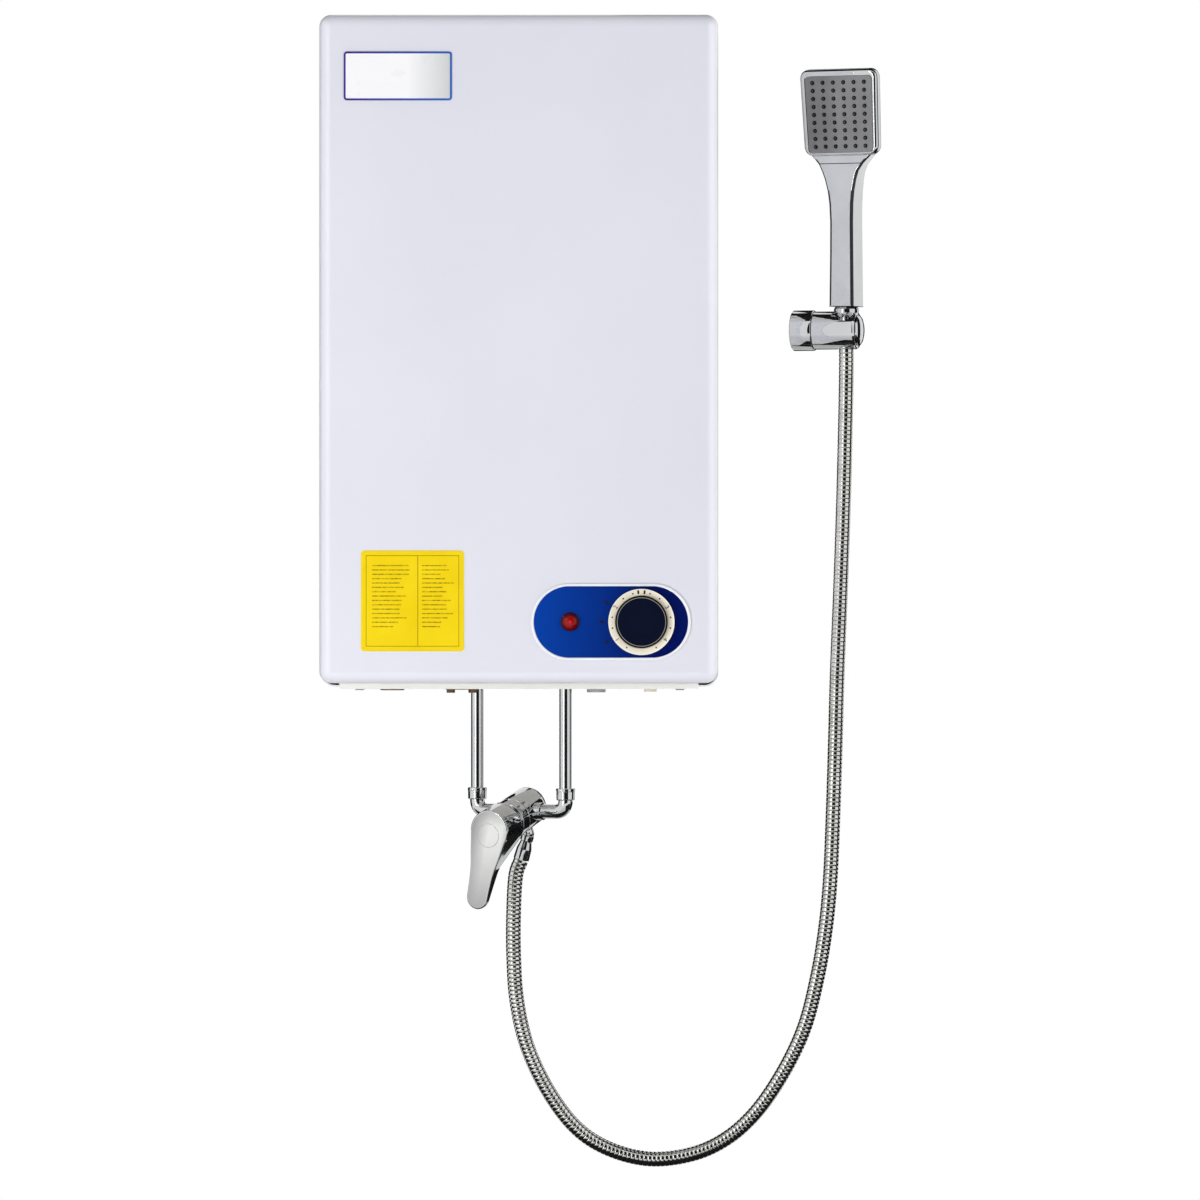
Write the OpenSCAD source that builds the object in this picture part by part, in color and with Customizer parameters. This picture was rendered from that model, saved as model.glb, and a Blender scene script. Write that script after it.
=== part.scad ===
// Wall-hung electric storage water heater with a shower mixer, hose, holder and hand shower.
// The wall is the plane y = 0, the room lies towards -Y, and the origin is at the middle of the wall bolts.

/* [Casing] */
// Width of the front cover
body_w = 380; // [340:5:440]
// Height of the front cover
body_h = 640; // [610:5:720]
// Distance of the cover's face from the wall
body_d = 225; // [220:1:260]
// Gap between the wall and the rear casing
casing_gap = 15; // [12:1:25]
// Distance from the wall to the rear casing's front edge
seam_d = 112; // [95:1:130]
// Thickness of the casing's sheet steel
sheet = 1.5; // [1:0.1:2]
// Rounding of the cover's corners and front edges
edge_r = 11.5; // [8:0.5:16]
// Gap between the cover and the rear casing's lip
lip_gap = 0.25; // [0.2:0.05:0.5]
// Length of the cover that slides into the rear casing
lip_len = 6; // [4:1:10]

/* [Wall rails] */
// Distance between the wall bolts along the wall
bolt_x = 260; // [220:5:290]
// Height between the wall bolts
bolt_z = 480; // [420:10:540]
// Diameter of the wall bolt holes
bolt_hole_d = 9; // [7:0.5:11]
// Length of a rail
rail_len = 310; // [300:5:330]
// Height of a rail
rail_h = 44; // [36:1:60]
// Thickness of a rail's steel
rail_t = 2.5; // [2:0.5:3]

/* [Tanks] */
// Outer diameter of a tank
tank_d = 156; // [146:1:160]
// Height of a tank
tank_h = 500; // [460:5:510]
// Distance between the tanks' axes
tank_pitch = 170; // [166:1:180]
// Thickness of a tank's steel
tank_wall = 1.8; // [1.5:0.1:2.5]
// Height of a tank's domed ends
tank_dome = 30; // [24:1:36]
// Distance from a tank's axis to the wall
tank_y = 120; // [116:1:124]
// Height of the tanks' lower ends above the casing's lower edge
tank_lift = 105; // [100:1:112]
// Diameter of the boss under a tank
boss_d = 56; // [50:1:64]
// Diameter of the hole in a boss
boss_hole_d = 36; // [32:1:40]
// Length of the heating element
element_len = 300; // [200:10:360]
// Diameter of the element's rod
element_d = 8; // [6:0.5:10]
// Length of the anode rod
anode_len = 260; // [180:10:340]

/* [Control panel] */
// Width of the panel's rim
panel_w = 152; // [140:1:160]
// Height of the panel's rim
panel_h = 73; // [70:1:80]
// Place of the panel's middle to the right of the heater's middle
panel_x = 88; // [80:1:94]
// Distance from the panel's middle to the cover's lower edge
panel_up = 61; // [58:1:64]
// Width of the panel's white rim
rim_w = 2.5; // [2:0.5:4]
// Thickness of the rim
rim_t = 3; // [2:0.5:4]
// Thickness of the blue panel
panel_t = 2; // [1.5:0.5:2.5]
// Distance of the dial from the panel's middle
dial_dx = 29; // [27:1:33]
// Distance of the lamp from the panel's middle
lamp_dx = 39; // [36:1:44]
// Outer diameter of the dial's ring
dial_d = 63; // [58:1:66]
// Diameter of the dial's dark cap
dial_cap_d = 48; // [42:1:52]
// Height of the dial's ring
dial_ring_t = 8; // [6:0.5:12]
// Height of the dial's cap
dial_cap_t = 14; // [12:0.5:18]
// Diameter of the thermostat's shaft
shaft_d = 6; // [5:0.5:8]
// Diameter of the lamp's lens
lamp_d = 18; // [14:1:20]

/* [Plates] */
// Width of the badge plate
badge_w = 103; // [80:1:120]
// Height of the badge plate
badge_h = 46.5; // [36:0.5:60]
// Distance from the badge's middle to the cover's left side
badge_x = 75; // [65:1:90]
// Distance from the badge's middle to the cover's top
badge_z = 59; // [40:1:80]
// Thickness of the badge plate
badge_t = 1.2; // [0.8:0.1:2]
// Width of the instruction card
card_w = 98; // [80:1:110]
// Height of the instruction card
card_h = 96; // [80:1:110]
// Distance from the card's middle to the cover's left side
card_x = 89; // [70:1:110]
// Distance from the card's middle to the cover's lower edge
card_z = 81; // [70:1:100]
// Thickness of the instruction card
card_t = 0.6; // [0.4:0.1:1]

/* [Fittings under the heater] */
// Thickness of the bottom plate
plate_t = 1.5; // [1:0.5:2]
// Width of the bottom plate
plate_w = 320; // [310:2:330]
// Place of the cold inlet to the left of the heater's middle
inlet_x = 123; // [115:1:130]
// Width across the inlet's hexagon
inlet_hex = 20; // [19:0.5:24]
// Bore of the inlet's thread
inlet_bore_d = 15; // [14:0.2:16]
// Depth of the inlet's thread
inlet_len = 14; // [10:1:18]
// Place of the earth terminal to the left of the heater's middle
earth_x = 56; // [54:1:72]
// Distance between the earth terminal's two screws
earth_pitch = 21; // [18:1:26]
// Place of the cable gland to the right of the heater's middle
gland_x = 74; // [72:1:84]
// Outer diameter of the cable gland
gland_d = 18; // [16:0.5:20]
// Bore of the cable gland
gland_bore_d = 9; // [6:0.5:10]
// Place of the reset button to the right of the heater's middle
reset_x = 126; // [118:1:132]
// Diameter of the reset button
reset_d = 12; // [10:0.5:14]
// Travel of the reset button
reset_travel = 2; // [1:0.5:2.5]

/* [Pipes and mixer] */
// Distance between the two pipes
pipe_pitch = 100; // [94:1:110]
// Outer diameter of a pipe
pipe_d = 12; // [10:0.5:14]
// Wall of a pipe
pipe_wall = 1; // [0.8:0.1:1.5]
// Distance from the wall to the mixer's middle
mixer_d = 110; // [105:1:115]
// Drop from the casing's lower edge to the mixer's middle
mixer_drop = 122; // [118:1:130]
// Place of the mixer's middle to the right of the heater's middle
mixer_x = 1.5; // [0:0.5:3]
// Turn of the mixer about the vertical
mixer_yaw = 31; // [25:1:36]
// Downward tilt of the mixer's front
mixer_pitch = 20; // [14:1:24]
// Diameter of the mixer's body
mixer_dia = 38; // [36:0.5:40]
// Length of a pipe nut
nut_len = 11.5; // [10:0.5:16]
// Width across a pipe nut's flats
nut_af = 17.5; // [17:0.5:20]
// Outer diameter of an elbow's tube
elbow_d = 14; // [13.5:0.5:15]
// Radius of an elbow's bend
bend_r = 10; // [8:0.5:12]
// Length of the lever's face from the mixer's axis to its tip
lever_len = 76; // [68:1:88]
// Diameter of the lever's round head
lever_d = 36.4; // [35:0.2:38]
// Distance of the round head's middle above the mixer's axis
lever_rise = 5.5; // [3:0.5:7]
// Slope of the lever's face
lever_slope = 15; // [8:1:18]
// Diameter of the lever's skirt
skirt_d = 40; // [39.6:0.2:41]
// Width of the lever at its waist
lever_waist_w = 22; // [18:0.5:26]
// Width of the lever near its tip
lever_tip_w = 19; // [14:0.5:22]
// Turn of the lever at rest from straight down, towards the left
lever_rest = 15; // [0:1:40]
// Diameter of the lever's round cap
lever_cap_d = 21.5; // [18:0.5:24]

/* [Hose and holder] */
// Outer diameter of the hose
hose_d = 14.5; // [13:0.5:16]
// Bore of the hose
hose_bore_d = 8; // [6:0.5:9]
// Depth of the hose's ribs
rib_depth = 0.8; // [0.4:0.1:1.2]
// Number of ribs on the hose
rib_count = 200; // [120:1:200]
// Number of those ribs on the hose's upper stretch
upper_ribs = 17; // [14:1:24]
// Place of the holder's socket to the right of the heater's middle
socket_x = 317; // [310:1:324]
// Distance from the wall to the holder's socket
socket_d = 60; // [56:1:66]
// Height of the holder's barrel
socket_z = 24; // [20:1:30]
// Turn of the holder's barrel about the vertical
barrel_yaw = 15; // [10:1:20]
// Diameter of the holder's swivel barrel
barrel_d = 37; // [35:0.5:39]
// Diameter of the holder's fixed barrel
base_d = 39.4; // [37:0.2:41]
// Length of the holder's fixed barrel
base_len = 21.5; // [19:0.5:28]
// Distance from the socket to the fixed barrel
base_dx = 27.5; // [25:0.5:30]
// Distance from the socket to the swivel barrel's free end
barrel_end = 15.5; // [15:0.5:18]
// Height of the swivel barrel's domed cap
cap_h = 5; // [3:0.5:7]
// Diameter of the holder's axle
axle_d = 14; // [12:0.5:16]
// Diameter of the holder's foot on the wall
foot_d = 34; // [33:0.5:38]
// Distance between the foot's two screw holes
foot_pitch = 25; // [24.5:0.5:26]
// Diameter of the foot's screw holes
foot_hole_d = 4.5; // [4:0.1:5]
// Length of the cone nut
cone_len = 40; // [36:1:44]
// Diameter of the cone nut's wide end
cone_top_d = 24.5; // [24:0.1:26]
// Diameter of the cone nut's narrow end
cone_low_d = 20.5; // [19:0.1:21]
// Width of the hose slot at the back of the socket
slot_w = 16.5; // [15.5:0.5:18]

/* [Hand shower] */
// Turn of the hand shower in its socket
hand_yaw = 24; // [0:1:40]
// Height of the hand shower's lower end above the barrel's axis
hand_low = 23; // [22:0.5:26]
// Width of the handle
handle_w = 25; // [22:0.5:28]
// Depth of the handle
handle_d = 28; // [24:0.5:32]
// Length from the handle's lower end to the head
handle_len = 148; // [130:1:170]
// Width of the head
head_w = 77; // [66:1:90]
// Height of the head
head_h = 84; // [72:1:100]
// Thickness of the head
head_t = 17; // [14:0.5:22]
// Distance of the head's middle in front of the handle's axis
head_dy = 10; // [6:0.5:16]
// Rounding of the head's corners
head_r = 7; // [4:0.5:12]
// Forward lean of the head
head_lean = 6.5; // [0:0.5:10]
// Frame left round the face plate
face_rim = 3.5; // [3:0.5:6]
// Thickness of the face plate
face_t = 2; // [1.5:0.5:3]
// Columns of nozzles
nozzle_cols = 6; // [4:1:6]
// Rows of nozzles
nozzle_rows = 9; // [5:1:9]
// Diameter of a nozzle
nozzle_d = 4.2; // [3:0.2:5]
// Distance between the columns of nozzles
nozzle_dx = 10.8; // [8:0.2:12]
// Distance between the rows of nozzles
nozzle_dz = 7.6; // [6:0.2:9]

/* [Hidden] */
$fn = 64;

// Clearances that several pieces share
run_gap = 0.05;
seat_gap = 0.1;
free_gap = 0.3;
foam_gap = 0.5;
eps = 0.01;

white = [0.90, 0.90, 0.94];
chrome = [0.80, 0.81, 0.83];
brass = [0.72, 0.55, 0.25];
copper = [0.75, 0.45, 0.30];
steel = [0.60, 0.61, 0.63];
black = [0.10, 0.10, 0.11];

// Heights and depths worked out from the sizes above
body_low = -body_h / 2;
panel_z = body_low + panel_up;
cover_back = seam_d - lip_len;
lip_out = lip_gap + sheet;
rear_low = body_low - lip_out;
plate_low = rear_low - plate_t;
face_in = body_d - sheet;
tank_low = body_low + tank_lift;
tank_top = tank_low + tank_h;
boss_drop = 8;
flange_t = 6;
gasket_t = 2;
dial_x = panel_x + dial_dx;
lamp_x = panel_x - lamp_dx;
shaft_back = body_d - 22;
pipe_top = body_low + 60;
tee_h = 30;
tee_d = 22;
inlet_y = mixer_d;
reset_y = body_d - 75;
mixer_z = body_low - mixer_drop;
mixer_pos = [mixer_x, -mixer_d, mixer_z];
pipe_dir = [cos(mixer_yaw), -sin(mixer_yaw), 0];
cold_xy = [mixer_x, -mixer_d] - pipe_pitch / 2 * [pipe_dir[0], pipe_dir[1]];
hot_xy = [mixer_x, -mixer_d] + pipe_pitch / 2 * [pipe_dir[0], pipe_dir[1]];
nut_low = mixer_z + bend_r + 1;
pipe_low = nut_low + nut_len / 2;

// Stations along the mixer's axis, from its middle towards the lever
rear_seam = -15;
rear_dome = 13;
collar_seam = 16;
collar_end = 28;
pivot_at = 36;
bonnet_r = mixer_dia / 2 - free_gap;
hollow_r = bonnet_r + free_gap;
skirt_h = 8;
handle_face = 65;
outlet_at = -5;
outlet_drop = 25;
carrier_d = 20;
carrier_low = 26;
carrier_top = 41;
pin_d = 3;
stem_w = 6;
stem_l = 9;
stem_top = 60;

// Stations along the holder's barrel, from its socket
socket_pos = [socket_x, -socket_d, socket_z];
barrel_dir = [cos(barrel_yaw), -sin(barrel_yaw), 0];
stem_at = base_dx + base_len / 2;
foot_xy = [socket_x, -socket_d] - stem_at * [barrel_dir[0], barrel_dir[1]];
foot_t = 7;
foot_spigot_d = 12;

cone_low = socket_z - barrel_d / 2 + 0.5;
hand_z = socket_z + hand_low;
thread_d = 20;
thread_len = 12;

// Route of the hose: steps from the mixer's middle to the loop's lowest point, then places to the cone nut
hose_drops = [
    [-0.5, 15, -48], [-5.5, 15, -63], [-7.5, 16, -98], [-7.5, 18, -140], [-4.5, 20, -184],
    [5.5, 21, -228], [25.5, 23, -271], [52.5, 24, -307], [84.5, 26, -328], [124.5, 27, -338]
];
hose_rises = [
    [168, -81, -775], [202, -80, -759], [231, -79, -732], [257, -77, -693], [276, -76, -652],
    [288, -74, -606], [296, -72, -560], [301, -70, -510], [304, -68, -442], [306, -66, -380],
    [308, -63, -310], [311, -61, -235], [314, -60, -150], [316, -60, -70],
    [socket_x, -socket_d, cone_low - 20], [socket_x, -socket_d, cone_low - seat_gap]
];
hose_route = concat([for (step = hose_drops) mixer_pos + step], hose_rises);

// Extrudes an outline drawn in X and Z towards the room, from a distance off the wall
module off_wall(d, t) {
    translate([0, -d, 0])
        rotate([90, 0, 0])
            linear_extrude(t)
                children();
}

// Turns a child that stands on Z so that it runs from p to q
module along(p, q) {
    v = q - p;
    translate(p)
        rotate([0, acos(v[2] / norm(v)), atan2(v[1], v[0])])
            children();
}

module bar(p, q, d) {
    along(p, q)
        cylinder(d = d, h = norm(q - p));
}

function arc_points(x, y, r, start, steps) =
    [for (i = [0:steps]) [x + r * cos(start + 90 * i / steps), y + r * sin(start + 90 * i / steps)]];

module rounded_rect(w, h, r, steps = 6) {
    x = w / 2 - r;
    y = h / 2 - r;
    polygon(concat(arc_points(x, y, r, 0, steps), arc_points(-x, y, r, 90, steps),
        arc_points(-x, -y, r, 180, steps), arc_points(x, -y, r, 270, steps)));
}

module stadium(w, h) {
    rounded_rect(w, h, h / 2 - 0.1, 12);
}

module tube(d, bore, h) {
    difference() {
        cylinder(d = d, h = h);
        translate([0, 0, -1])
            cylinder(d = bore, h = h + 2);
    }
}

module hex_bar(af, h) {
    cylinder(d = af / cos(30), h = h, $fn = 6);
}

// Casing

module wall_rails() {
    leg = casing_gap - rail_t;
    color(steel)
        for (z = [-bolt_z / 2, bolt_z / 2])
            translate([0, 0, z])
                difference() {
                    union() {
                        off_wall(0, rail_t)
                            square([rail_len, rail_h], center = true);
                        for (s = [-1, 1])
                            translate([s * (rail_len - rail_t) / 2, 0, 0])
                                off_wall(rail_t, leg)
                                    square([rail_t, rail_h], center = true);
                        translate([0, 0, rail_h / 2 - rail_t / 2])
                            off_wall(rail_t, leg)
                                square([rail_len, rail_t], center = true);
                    }
                    for (x = [-bolt_x / 2, bolt_x / 2])
                        translate([x, 0, 0])
                            off_wall(-1, rail_t + 2)
                                circle(d = bolt_hole_d);
                }
}

// Opening in the casing's floor, which the bottom plate closes
module floor_opening(front) {
    translate([-plate_w / 2 + 10, -front, rear_low - 1])
        cube([plate_w - 20, front - casing_gap - 15, lip_out + sheet + 2]);
}

module rear_casing() {
    w = body_w + 2 * lip_out;
    h = body_h + 2 * lip_out;
    color(white)
        difference() {
            off_wall(casing_gap, seam_d - casing_gap)
                rounded_rect(w, h, edge_r + lip_out);
            off_wall(casing_gap + sheet, seam_d)
                rounded_rect(w - 2 * sheet, h - 2 * sheet, edge_r + lip_gap);
            floor_opening(seam_d + 1);
            for (x = [-screw_x, screw_x], y = screw_y)
                translate([x, -y, rear_low - 1])
                    cylinder(d = screw_d + 2 * seat_gap, h = sheet + 2);
        }
}

module cover_block(inset, back) {
    r = edge_r - inset;
    hull()
        for (x = [-1, 1], z = [-1, 1])
            translate([x * (body_w / 2 - edge_r), 0, z * (body_h / 2 - edge_r)]) {
                translate([0, -body_d + edge_r, 0])
                    sphere(r = r, $fn = 32);
                off_wall(back, 1)
                    circle(r = r, $fn = 32);
            }
}

module front_cover() {
    color(white)
        difference() {
            cover_block(0, cover_back);
            cover_block(sheet, cover_back - 2);
            floor_opening(body_d - 45);
            translate([dial_x, 0, panel_z])
                off_wall(face_in - 2, sheet + 4)
                    circle(d = shaft_d + 4);
            translate([lamp_x, 0, panel_z])
                off_wall(face_in - 2, sheet + 4)
                    circle(d = lamp_d - 4);
        }
}

plate_back = casing_gap + 5;
plate_front = body_d - 35;
screw_d = 4;
screw_x = plate_w / 2 - 5;
screw_y = [casing_gap + 10, seam_d - 12];

module bottom_plate() {
    color(white)
        difference() {
            translate([-plate_w / 2, -plate_front, plate_low])
                cube([plate_w, plate_front - plate_back, plate_t]);
            for (h = [[-inlet_x, -inlet_y, inlet_hex + 4], [cold_xy[0], cold_xy[1], pipe_d + 4],
                    [hot_xy[0], hot_xy[1], pipe_d + 4], [gland_x, -inlet_y, gland_d - 4],
                    [reset_x, -reset_y, reset_d + 1],
                    [-earth_x - earth_pitch / 2, -inlet_y, screw_d + 2 * seat_gap],
                    [-earth_x + earth_pitch / 2, -inlet_y, screw_d + 2 * seat_gap]])
                translate([h[0], h[1], plate_low - 1])
                    cylinder(d = h[2], h = plate_t + 2);
            for (x = [-screw_x, screw_x], y = screw_y)
                translate([x, -y, plate_low - 1])
                    cylinder(d = screw_d + 2 * seat_gap, h = plate_t + 2);
        }
}

module casing_screws() {
    color(steel)
        for (x = [-screw_x, screw_x], y = screw_y)
            translate([x, -y, plate_low])
                difference() {
                    union() {
                        cylinder(d = screw_d, h = plate_t + sheet + 2);
                        translate([0, 0, -2])
                            cylinder(d = 8, h = 2);
                    }
                    translate([0, 0, -2.5])
                        cube([5, 1, 2.6], center = true);
                }
}

module badge_plate() {
    color([0.93, 0.93, 0.95])
        translate([-body_w / 2 + badge_x, 0, body_h / 2 - badge_z])
            off_wall(body_d, badge_t)
                rounded_rect(badge_w, badge_h, 3);
}

module instruction_card() {
    color([0.96, 0.83, 0.08])
        translate([-body_w / 2 + card_x, 0, body_low + card_z])
            off_wall(body_d, card_t)
                rounded_rect(card_w, card_h, 4);
}

// Tanks and what goes into them

link_d = 18;
link_in = 6;
link_up = 70;
link_len = tank_pitch - tank_d + 2 * link_in;
link_z = [tank_low + link_up, tank_top - link_up];
standpipe_gap = 40;
standpipe_top = tank_top - standpipe_gap;
inlet_tube_d = 15;
rod_pitch = 24;
rod_out = 10;
bulb_d = 6;
bulb_dy = 12;
bulb_up = 160;
capillary_d = 2.5;
flange_low = tank_low - boss_drop - gasket_t - flange_t;
flange_hex = 44;
flange_hex_t = 8;
tank_xy = [tank_pitch / 2, -tank_y];

function tank_points(r, dome, low, top) =
    concat([for (t = [0:15:90]) [r * sin(t), low + dome * (1 - cos(t))]],
        [for (t = [0:15:90]) [r * cos(t), top - dome + dome * sin(t)]]);

module tank_form(grow) {
    rotate_extrude()
        polygon(tank_points(tank_d / 2 + grow, tank_dome + grow, tank_low - grow, tank_top + grow));
}

// Tank at its place, side -1 for the left and 1 for the right, with one tube hole in its floor
module tank(side, hole_xy, hole_d) {
    color(steel)
        difference() {
            translate([side * tank_xy[0], tank_xy[1], 0])
                difference() {
                    union() {
                        tank_form(0);
                        translate([0, 0, tank_low - boss_drop])
                            cylinder(d = boss_d, h = boss_drop + 4);
                    }
                    tank_form(-tank_wall);
                    translate([0, 0, tank_low - boss_drop - 1])
                        cylinder(d = boss_hole_d, h = 30);
                    for (z = link_z)
                        translate([0, 0, z])
                            rotate([0, -side * 90, 0])
                                cylinder(d = link_d + 2 * seat_gap, h = tank_d);
                }
            translate([hole_xy[0], hole_xy[1], tank_low - 20])
                cylinder(d = hole_d, h = 80);
        }
}

module tank_left() {
    tank(-1, [-inlet_x, -inlet_y], inlet_tube_d + 2 * seat_gap);
}

module tank_right() {
    tank(1, hot_xy, pipe_d + 2 * seat_gap);
}

module link_tubes() {
    color(steel)
        for (z = link_z)
            translate([-link_len / 2, -tank_y, z])
                rotate([0, 90, 0])
                    tube(link_d, link_d - 3, link_len);
}

module foam(back, front) {
    foam_w = body_w - 2 * sheet - 2;
    foam_low = tank_low + 2;
    foam_h = body_h / 2 - sheet - 1 - foam_low;
    color([0.93, 0.86, 0.62])
        difference() {
            translate([0, 0, foam_low + foam_h / 2])
                off_wall(back, front - back)
                    rounded_rect(foam_w, foam_h, edge_r);
            for (s = [-1, 1])
                translate([s * tank_xy[0], tank_xy[1], 0]) {
                    tank_form(foam_gap);
                    cylinder(d = boss_d + 2 * foam_gap, h = 60, center = true);
                    translate([0, 0, tank_low - 1])
                        cylinder(d = boss_d + 2 * foam_gap, h = 10);
                }
            for (z = link_z)
                translate([0, -tank_y, z])
                    rotate([0, 90, 0])
                        cylinder(d = link_d + 2 * foam_gap, h = link_len, center = true);
            for (h = [[-inlet_x, -inlet_y, inlet_tube_d], [hot_xy[0], hot_xy[1], pipe_d]])
                translate([h[0], h[1], tank_low])
                    cylinder(d = h[2] + 2 * foam_gap, h = tank_dome);
        }
}

module foam_rear() {
    foam(casing_gap + sheet + foam_gap, tank_y - foam_gap / 2);
}

module foam_front() {
    foam(tank_y + foam_gap / 2, body_d - edge_r - foam_gap);
}

module element_rod() {
    rod_top = tank_low + element_len;
    color(copper)
        translate([tank_xy[0], tank_xy[1], 0]) {
            for (s = [-1, 1])
                translate([s * rod_pitch / 2, 0, flange_low - flange_hex_t - rod_out])
                    cylinder(d = element_d, h = rod_top - flange_low + flange_hex_t + rod_out);
            translate([0, 0, rod_top])
                rotate([90, 0, 0])
                    rotate_extrude(angle = 180)
                        translate([rod_pitch / 2, 0])
                            circle(d = element_d);
        }
}

module element_flange() {
    color(brass)
        translate([tank_xy[0], tank_xy[1], flange_low])
            difference() {
                union() {
                    cylinder(d = boss_d, h = flange_t);
                    translate([0, 0, -flange_hex_t])
                        hex_bar(flange_hex, flange_hex_t);
                }
                for (s = [-1, 1])
                    translate([s * rod_pitch / 2, 0, -flange_hex_t - 1])
                        cylinder(d = element_d + 2 * seat_gap, h = flange_hex_t + flange_t + 2);
                translate([0, bulb_dy, -flange_hex_t - 1])
                    cylinder(d = bulb_d + 2 * seat_gap, h = flange_hex_t + flange_t + 2);
            }
}

module flange_gasket() {
    color(black)
        translate([tank_xy[0], tank_xy[1], flange_low + flange_t])
            tube(boss_d, boss_hole_d, gasket_t);
}

module anode_rod() {
    plug_low = tank_low - boss_drop - flange_t;
    color(steel)
        translate([-tank_xy[0], tank_xy[1], 0]) {
            translate([0, 0, plug_low])
                cylinder(d = boss_d, h = flange_t);
            translate([0, 0, plug_low - flange_hex_t])
                hex_bar(flange_hex, flange_hex_t);
            translate([0, 0, plug_low + flange_t - eps])
                cylinder(d = 22, h = anode_len);
        }
}

inlet_low = plate_low - 2;
tee_low = pipe_top - 10;
branch_z = tee_low + tee_h / 2 + 4;
branch_d = 12;

module cold_inlet() {
    color(brass)
        translate([-inlet_x, -inlet_y, 0])
            difference() {
                union() {
                    translate([0, 0, inlet_low])
                        hex_bar(inlet_hex, tee_low - inlet_low);
                    translate([0, 0, tee_low])
                        cylinder(d = tee_d, h = tee_h);
                    translate([0, 0, tee_low + tee_h])
                        cylinder(d = inlet_tube_d, h = tank_low + 60 - tee_low - tee_h);
                }
                translate([0, 0, inlet_low - 1])
                    cylinder(d = inlet_bore_d, h = inlet_len + 1);
                translate([0, 0, inlet_low])
                    cylinder(d = inlet_bore_d - 5, h = body_h);
            }
}

module cold_branch() {
    from = [cold_xy[0], cold_xy[1], branch_z];
    to = [-inlet_x, -inlet_y, branch_z];
    color(copper)
        difference() {
            union() {
                translate([cold_xy[0], cold_xy[1], tee_low])
                    cylinder(d = tee_d, h = tee_h);
                bar(from, to, branch_d);
            }
            translate([-inlet_x, -inlet_y, tee_low - 1])
                cylinder(d = tee_d + 2 * seat_gap, h = tee_h + 2);
            translate([cold_xy[0], cold_xy[1], tee_low - 1])
                cylinder(d = pipe_d + 2 * seat_gap, h = pipe_top - tee_low + 1);
        }
}

module hot_tube() {
    color(copper)
        translate([hot_xy[0], hot_xy[1], 0])
            difference() {
                union() {
                    translate([0, 0, pipe_top])
                        cylinder(d = pipe_d, h = standpipe_top - pipe_top);
                    translate([0, 0, pipe_top - 12])
                        hex_bar(nut_af, 20);
                }
                translate([0, 0, pipe_top - 1])
                    cylinder(d = pipe_d - 2 * pipe_wall, h = tank_h + tank_lift);
                translate([0, 0, pipe_top - 13])
                    cylinder(d = pipe_d + 2 * seat_gap, h = 13);
            }
}

// Electrical pieces

thermo_w = 40;
thermo_h = 44;
thermo_t = 28;
cutout_w = 36;
cutout_t = 32;
cutout_h = 36;
reset_in = 12;
reset_out = 3;
block_w = 60;
block_h = 22;
block_t = 18;
block_x = 20;
block_step = 18;
block_hole = 8;
block_z = body_low + 32;
wire_d = 3;
wire_out = 8;
wire_bow = 34;
wire_lead = 25;

module thermostat() {
    color([0.85, 0.85, 0.82])
        difference() {
            translate([dial_x, 0, panel_z])
                off_wall(face_in - thermo_t, thermo_t - free_gap / 2)
                    square([thermo_w, thermo_h], center = true);
            translate([dial_x, 0, panel_z])
                off_wall(shaft_back - 1, body_d - shaft_back)
                    circle(d = shaft_d + 2 * run_gap);
        }
}

module sensor_bulb() {
    top = [tank_xy[0], tank_xy[1] + bulb_dy, tank_low + bulb_up];
    low = [top[0], top[1], flange_low - flange_hex_t - bulb_dy];
    end = [dial_x, -(face_in - thermo_t), panel_z + thermo_h / 4];
    near = [end[0], end[1] + wire_out, end[2]];
    color(copper) {
        bar(low, top, bulb_d);
        translate(low)
            sphere(d = bulb_d + 1);
        bar(low, near, capillary_d);
        translate(near)
            sphere(d = capillary_d + 0.4);
        bar(near, end, capillary_d);
    }
}

module cutout() {
    color(black)
        difference() {
            translate([reset_x - cutout_w / 2, -reset_y - cutout_t / 2, rear_low])
                cube([cutout_w, cutout_t, cutout_h]);
            translate([reset_x, -reset_y, rear_low - 1])
                cylinder(d = reset_d + 2 * run_gap, h = reset_in + reset_travel + 1.5);
        }
}

module reset_button() {
    color([0.85, 0.78, 0.66])
        translate([reset_x, -reset_y, plate_low - reset_out])
            cylinder(d = reset_d, h = reset_out + plate_t + reset_in);
}

module terminal_block() {
    color([0.92, 0.92, 0.88])
        difference() {
            translate([block_x, 0, block_z])
                off_wall(casing_gap + sheet, block_t)
                    square([block_w, block_h], center = true);
            for (i = [-1:1])
                translate([block_x + i * block_step, 0, block_z])
                    off_wall(casing_gap + sheet + block_t - block_hole, block_hole + 1)
                        circle(d = 7);
        }
}

module wire(points) {
    for (i = [0:len(points) - 2])
        bar(points[i], points[i + 1], wire_d);
    for (i = [1:len(points) - 2])
        translate(points[i])
            sphere(d = wire_d + 0.4);
}

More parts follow.
